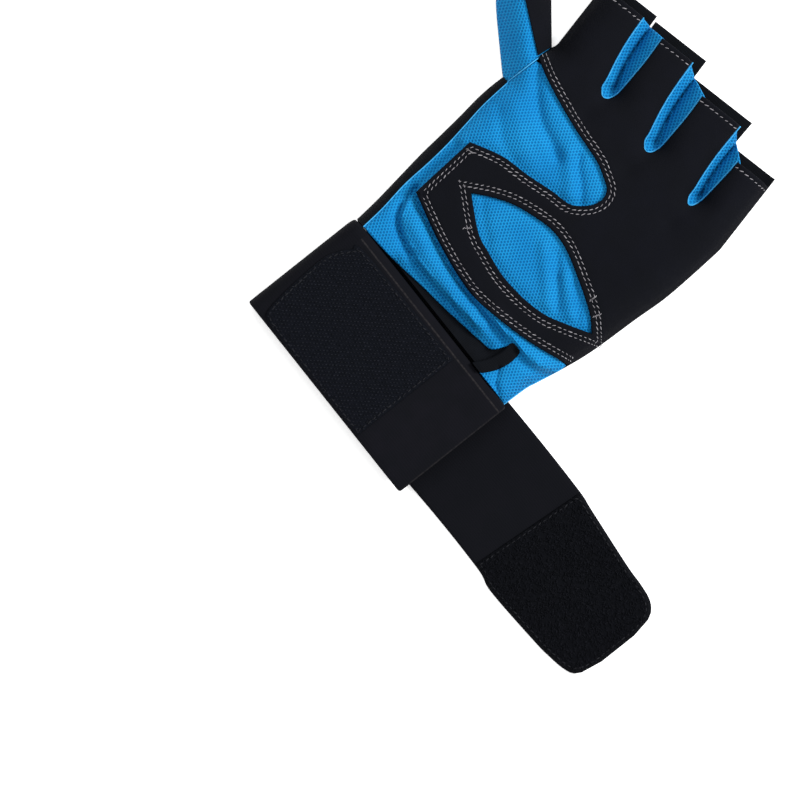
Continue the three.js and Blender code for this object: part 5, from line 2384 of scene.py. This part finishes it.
    def loop_tape(self) -> None:
        """Loop tape with its pile in slanting staggered rows."""
        sizes = self.shop.form.sizes
        outline = self.loop_outline()
        base = sizes.band_height
        self.ground("loop_tape_ground", self.shop.finishes.loop_ground, "loop_patch", outline, base)
        turn = self.loop_turn
        draw = np.random.default_rng(11)
        places = np.arange(-60.0, 60.0, self.loop_pitch)
        spots = []
        for j, v in enumerate(places):
            shift = self.loop_pitch / 2 if j % 2 else 0.0
            spots.extend((u + shift, v) for u in places)
        slant = np.array([[math.cos(turn), math.sin(turn)], [-math.sin(turn), math.cos(turn)]])
        spots = np.array(spots) @ slant
        spots += outline.mean(axis=0)
        spots += draw.normal(0, self.loop_scatter, spots.shape)
        spots = self.on_tape(spots, outline, self.pile_clear[0])
        cloth = self.shop.finishes.loop_pile
        fibre = Fibre(length=0.48, radius=0.24, turn=turn, jitter=0.35, tilt=0.1, seed=5)
        rows = flat_rows(*spots.T, base + sizes.tape_ground + self.loop_rise)
        self.shop.dress(self.shop.pile.scatter("loop_tape_pile", rows, cloth, fibre), cloth)

    def hook_tape(self) -> None:
        """Hook tape with its rough tangled pile."""
        sizes = self.shop.form.sizes
        outline = self.hook_outline()
        base = sizes.webbing_thickness
        self.ground("hook_tape_ground", self.shop.finishes.hook_ground, "hook_patch", outline, base)
        draw = np.random.default_rng(23)
        spots = draw.uniform(outline.min(axis=0), outline.max(axis=0), (self.hook_spots, 2))
        spots = self.on_tape(spots, outline, self.pile_clear[1])
        rise = draw.uniform(*self.hook_rise, len(spots))
        cloth = self.shop.finishes.hook_pile
        fibre = Fibre(length=0.62, radius=0.17, turn=0.0, jitter=math.pi, tilt=0.7, seed=9)
        rows = flat_rows(*spots.T, base + sizes.tape_ground + rise)
        self.shop.dress(self.shop.pile.scatter("hook_tape_pile", rows, cloth, fibre), cloth)

    def stitches(self) -> None:
        """Dark rows that hold the tapes."""
        sizes = self.shop.form.sizes
        rows = []
        for outline, base in (
            (self.loop_outline(), sizes.band_height),
            (self.hook_outline(), sizes.webbing_thickness),
        ):
            path = even_path(closed_path(outline), STEP)
            turn = 1.0 if ring_area(path) > 0 else -1.0
            inner = offset_path(path, self.row_inset * turn)
            rows.append(flat_rows(*inner.T, base + sizes.tape_ground + self.row_rise))
        thread = self.shop.finishes.black_thread
        self.shop.dress(self.shop.sewing.rows("strap_stitching", rows, thread, self.tape_row), thread)


@dataclass
class Studio:
    """Plain pale floor, soft lights and a camera that looks straight down."""

    distance: float = 3.0
    frame_width: float = 0.304
    sensor: float = 36.0
    centre: tuple = (0.0188, -0.0041)
    image_right: tuple = (0.6216, 0.7833)

    def build(self) -> None:
        """Builds the floor, the lights and the camera."""
        self.floor()
        self.lights()
        self.camera()

    def floor(self) -> None:
        """A plain pale floor."""
        reach = 6.0
        mesh = bpy.data.meshes.new("floor")
        corners = [(-reach, -reach, 0), (reach, -reach, 0), (reach, reach, 0), (-reach, reach, 0)]
        mesh.from_pydata(corners, [], [(0, 1, 2, 3)])
        floor = bpy.data.objects.new("floor", mesh)
        bpy.context.scene.collection.objects.link(floor)
        material = bpy.data.materials.new("pale_floor")
        material.use_nodes = True
        shader = material.node_tree.nodes["Principled BSDF"]
        shader.inputs["Base Color"].default_value = (0.93, 0.93, 0.93, 1)
        shader.inputs["Roughness"].default_value = 0.9
        shader.inputs["Specular IOR Level"].default_value = 0.0
        shader.inputs["Emission Color"].default_value = (1, 1, 1, 1)
        shader.inputs["Emission Strength"].default_value = 0.42
        mesh.materials.append(material)

    def light(self, name: str, place: tuple, size: float, power: float) -> None:
        """Adds one soft light that faces the glove.

        Args:
            name: its name.
            place: where it hangs.
            size: its diameter.
            power: its strength in watts.
        """
        data = bpy.data.lights.new(name, "AREA")
        data.shape = "DISK"
        data.size = size
        data.energy = power
        lamp = bpy.data.objects.new(name, data)
        lamp.location = place
        lamp.rotation_euler = (-Vector(place)).to_track_quat("-Z", "Y").to_euler()
        lamp.visible_camera = False
        bpy.context.scene.collection.objects.link(lamp)

    def lights(self) -> None:
        """Key light from the image's upper left, a soft fill and an even surround."""
        self.light("key", (0.9, 1.9, 1.6), 1.0, 80.0)
        self.light("top", (-0.5, 0.2, 2.4), 1.8, 26.0)
        world = bpy.data.worlds.new("studio")
        world.use_nodes = True
        background = world.node_tree.nodes["Background"]
        background.inputs[0].default_value = (1, 1, 1, 1)
        background.inputs[1].default_value = 0.6
        bpy.context.scene.world = world
        bpy.context.scene.view_settings.view_transform = "Standard"

    def camera(self) -> None:
        """A long lens straight above, turned as the photograph is."""
        data = bpy.data.cameras.new("camera")
        data.sensor_width = self.sensor
        data.lens = self.sensor * self.distance / self.frame_width
        data.clip_end = 20.0
        camera = bpy.data.objects.new("camera", data)
        right = Vector((*self.image_right, 0)).normalized()
        back = Vector((0, 0, 1))
        up = back.cross(right)
        turn = Matrix((right, up, back)).transposed().to_4x4()
        camera.matrix_world = Matrix.Translation((*self.centre, self.distance)) @ turn
        bpy.context.scene.collection.objects.link(camera)
        bpy.context.scene.camera = camera


def main() -> None:
    """Loads the frame and builds the glove round it."""
    logging.basicConfig(level=logging.INFO, format="%(name)s: %(message)s")
    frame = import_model()
    LOG.info("dressing %d solids", len(frame["nodes"]))
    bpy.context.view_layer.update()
    shop = Workshop(GloveForm(GloveSizes()), Finishes(), Sewing(), SeamRoll(), Pile())
    for part in (Palm(shop), Fingers(shop), Back(shop), Cuff(shop), Strap(shop)):
        LOG.info("building %s", type(part).__name__.lower())
        part.build()
    Studio().build()


if __name__ == "__main__":
    main()
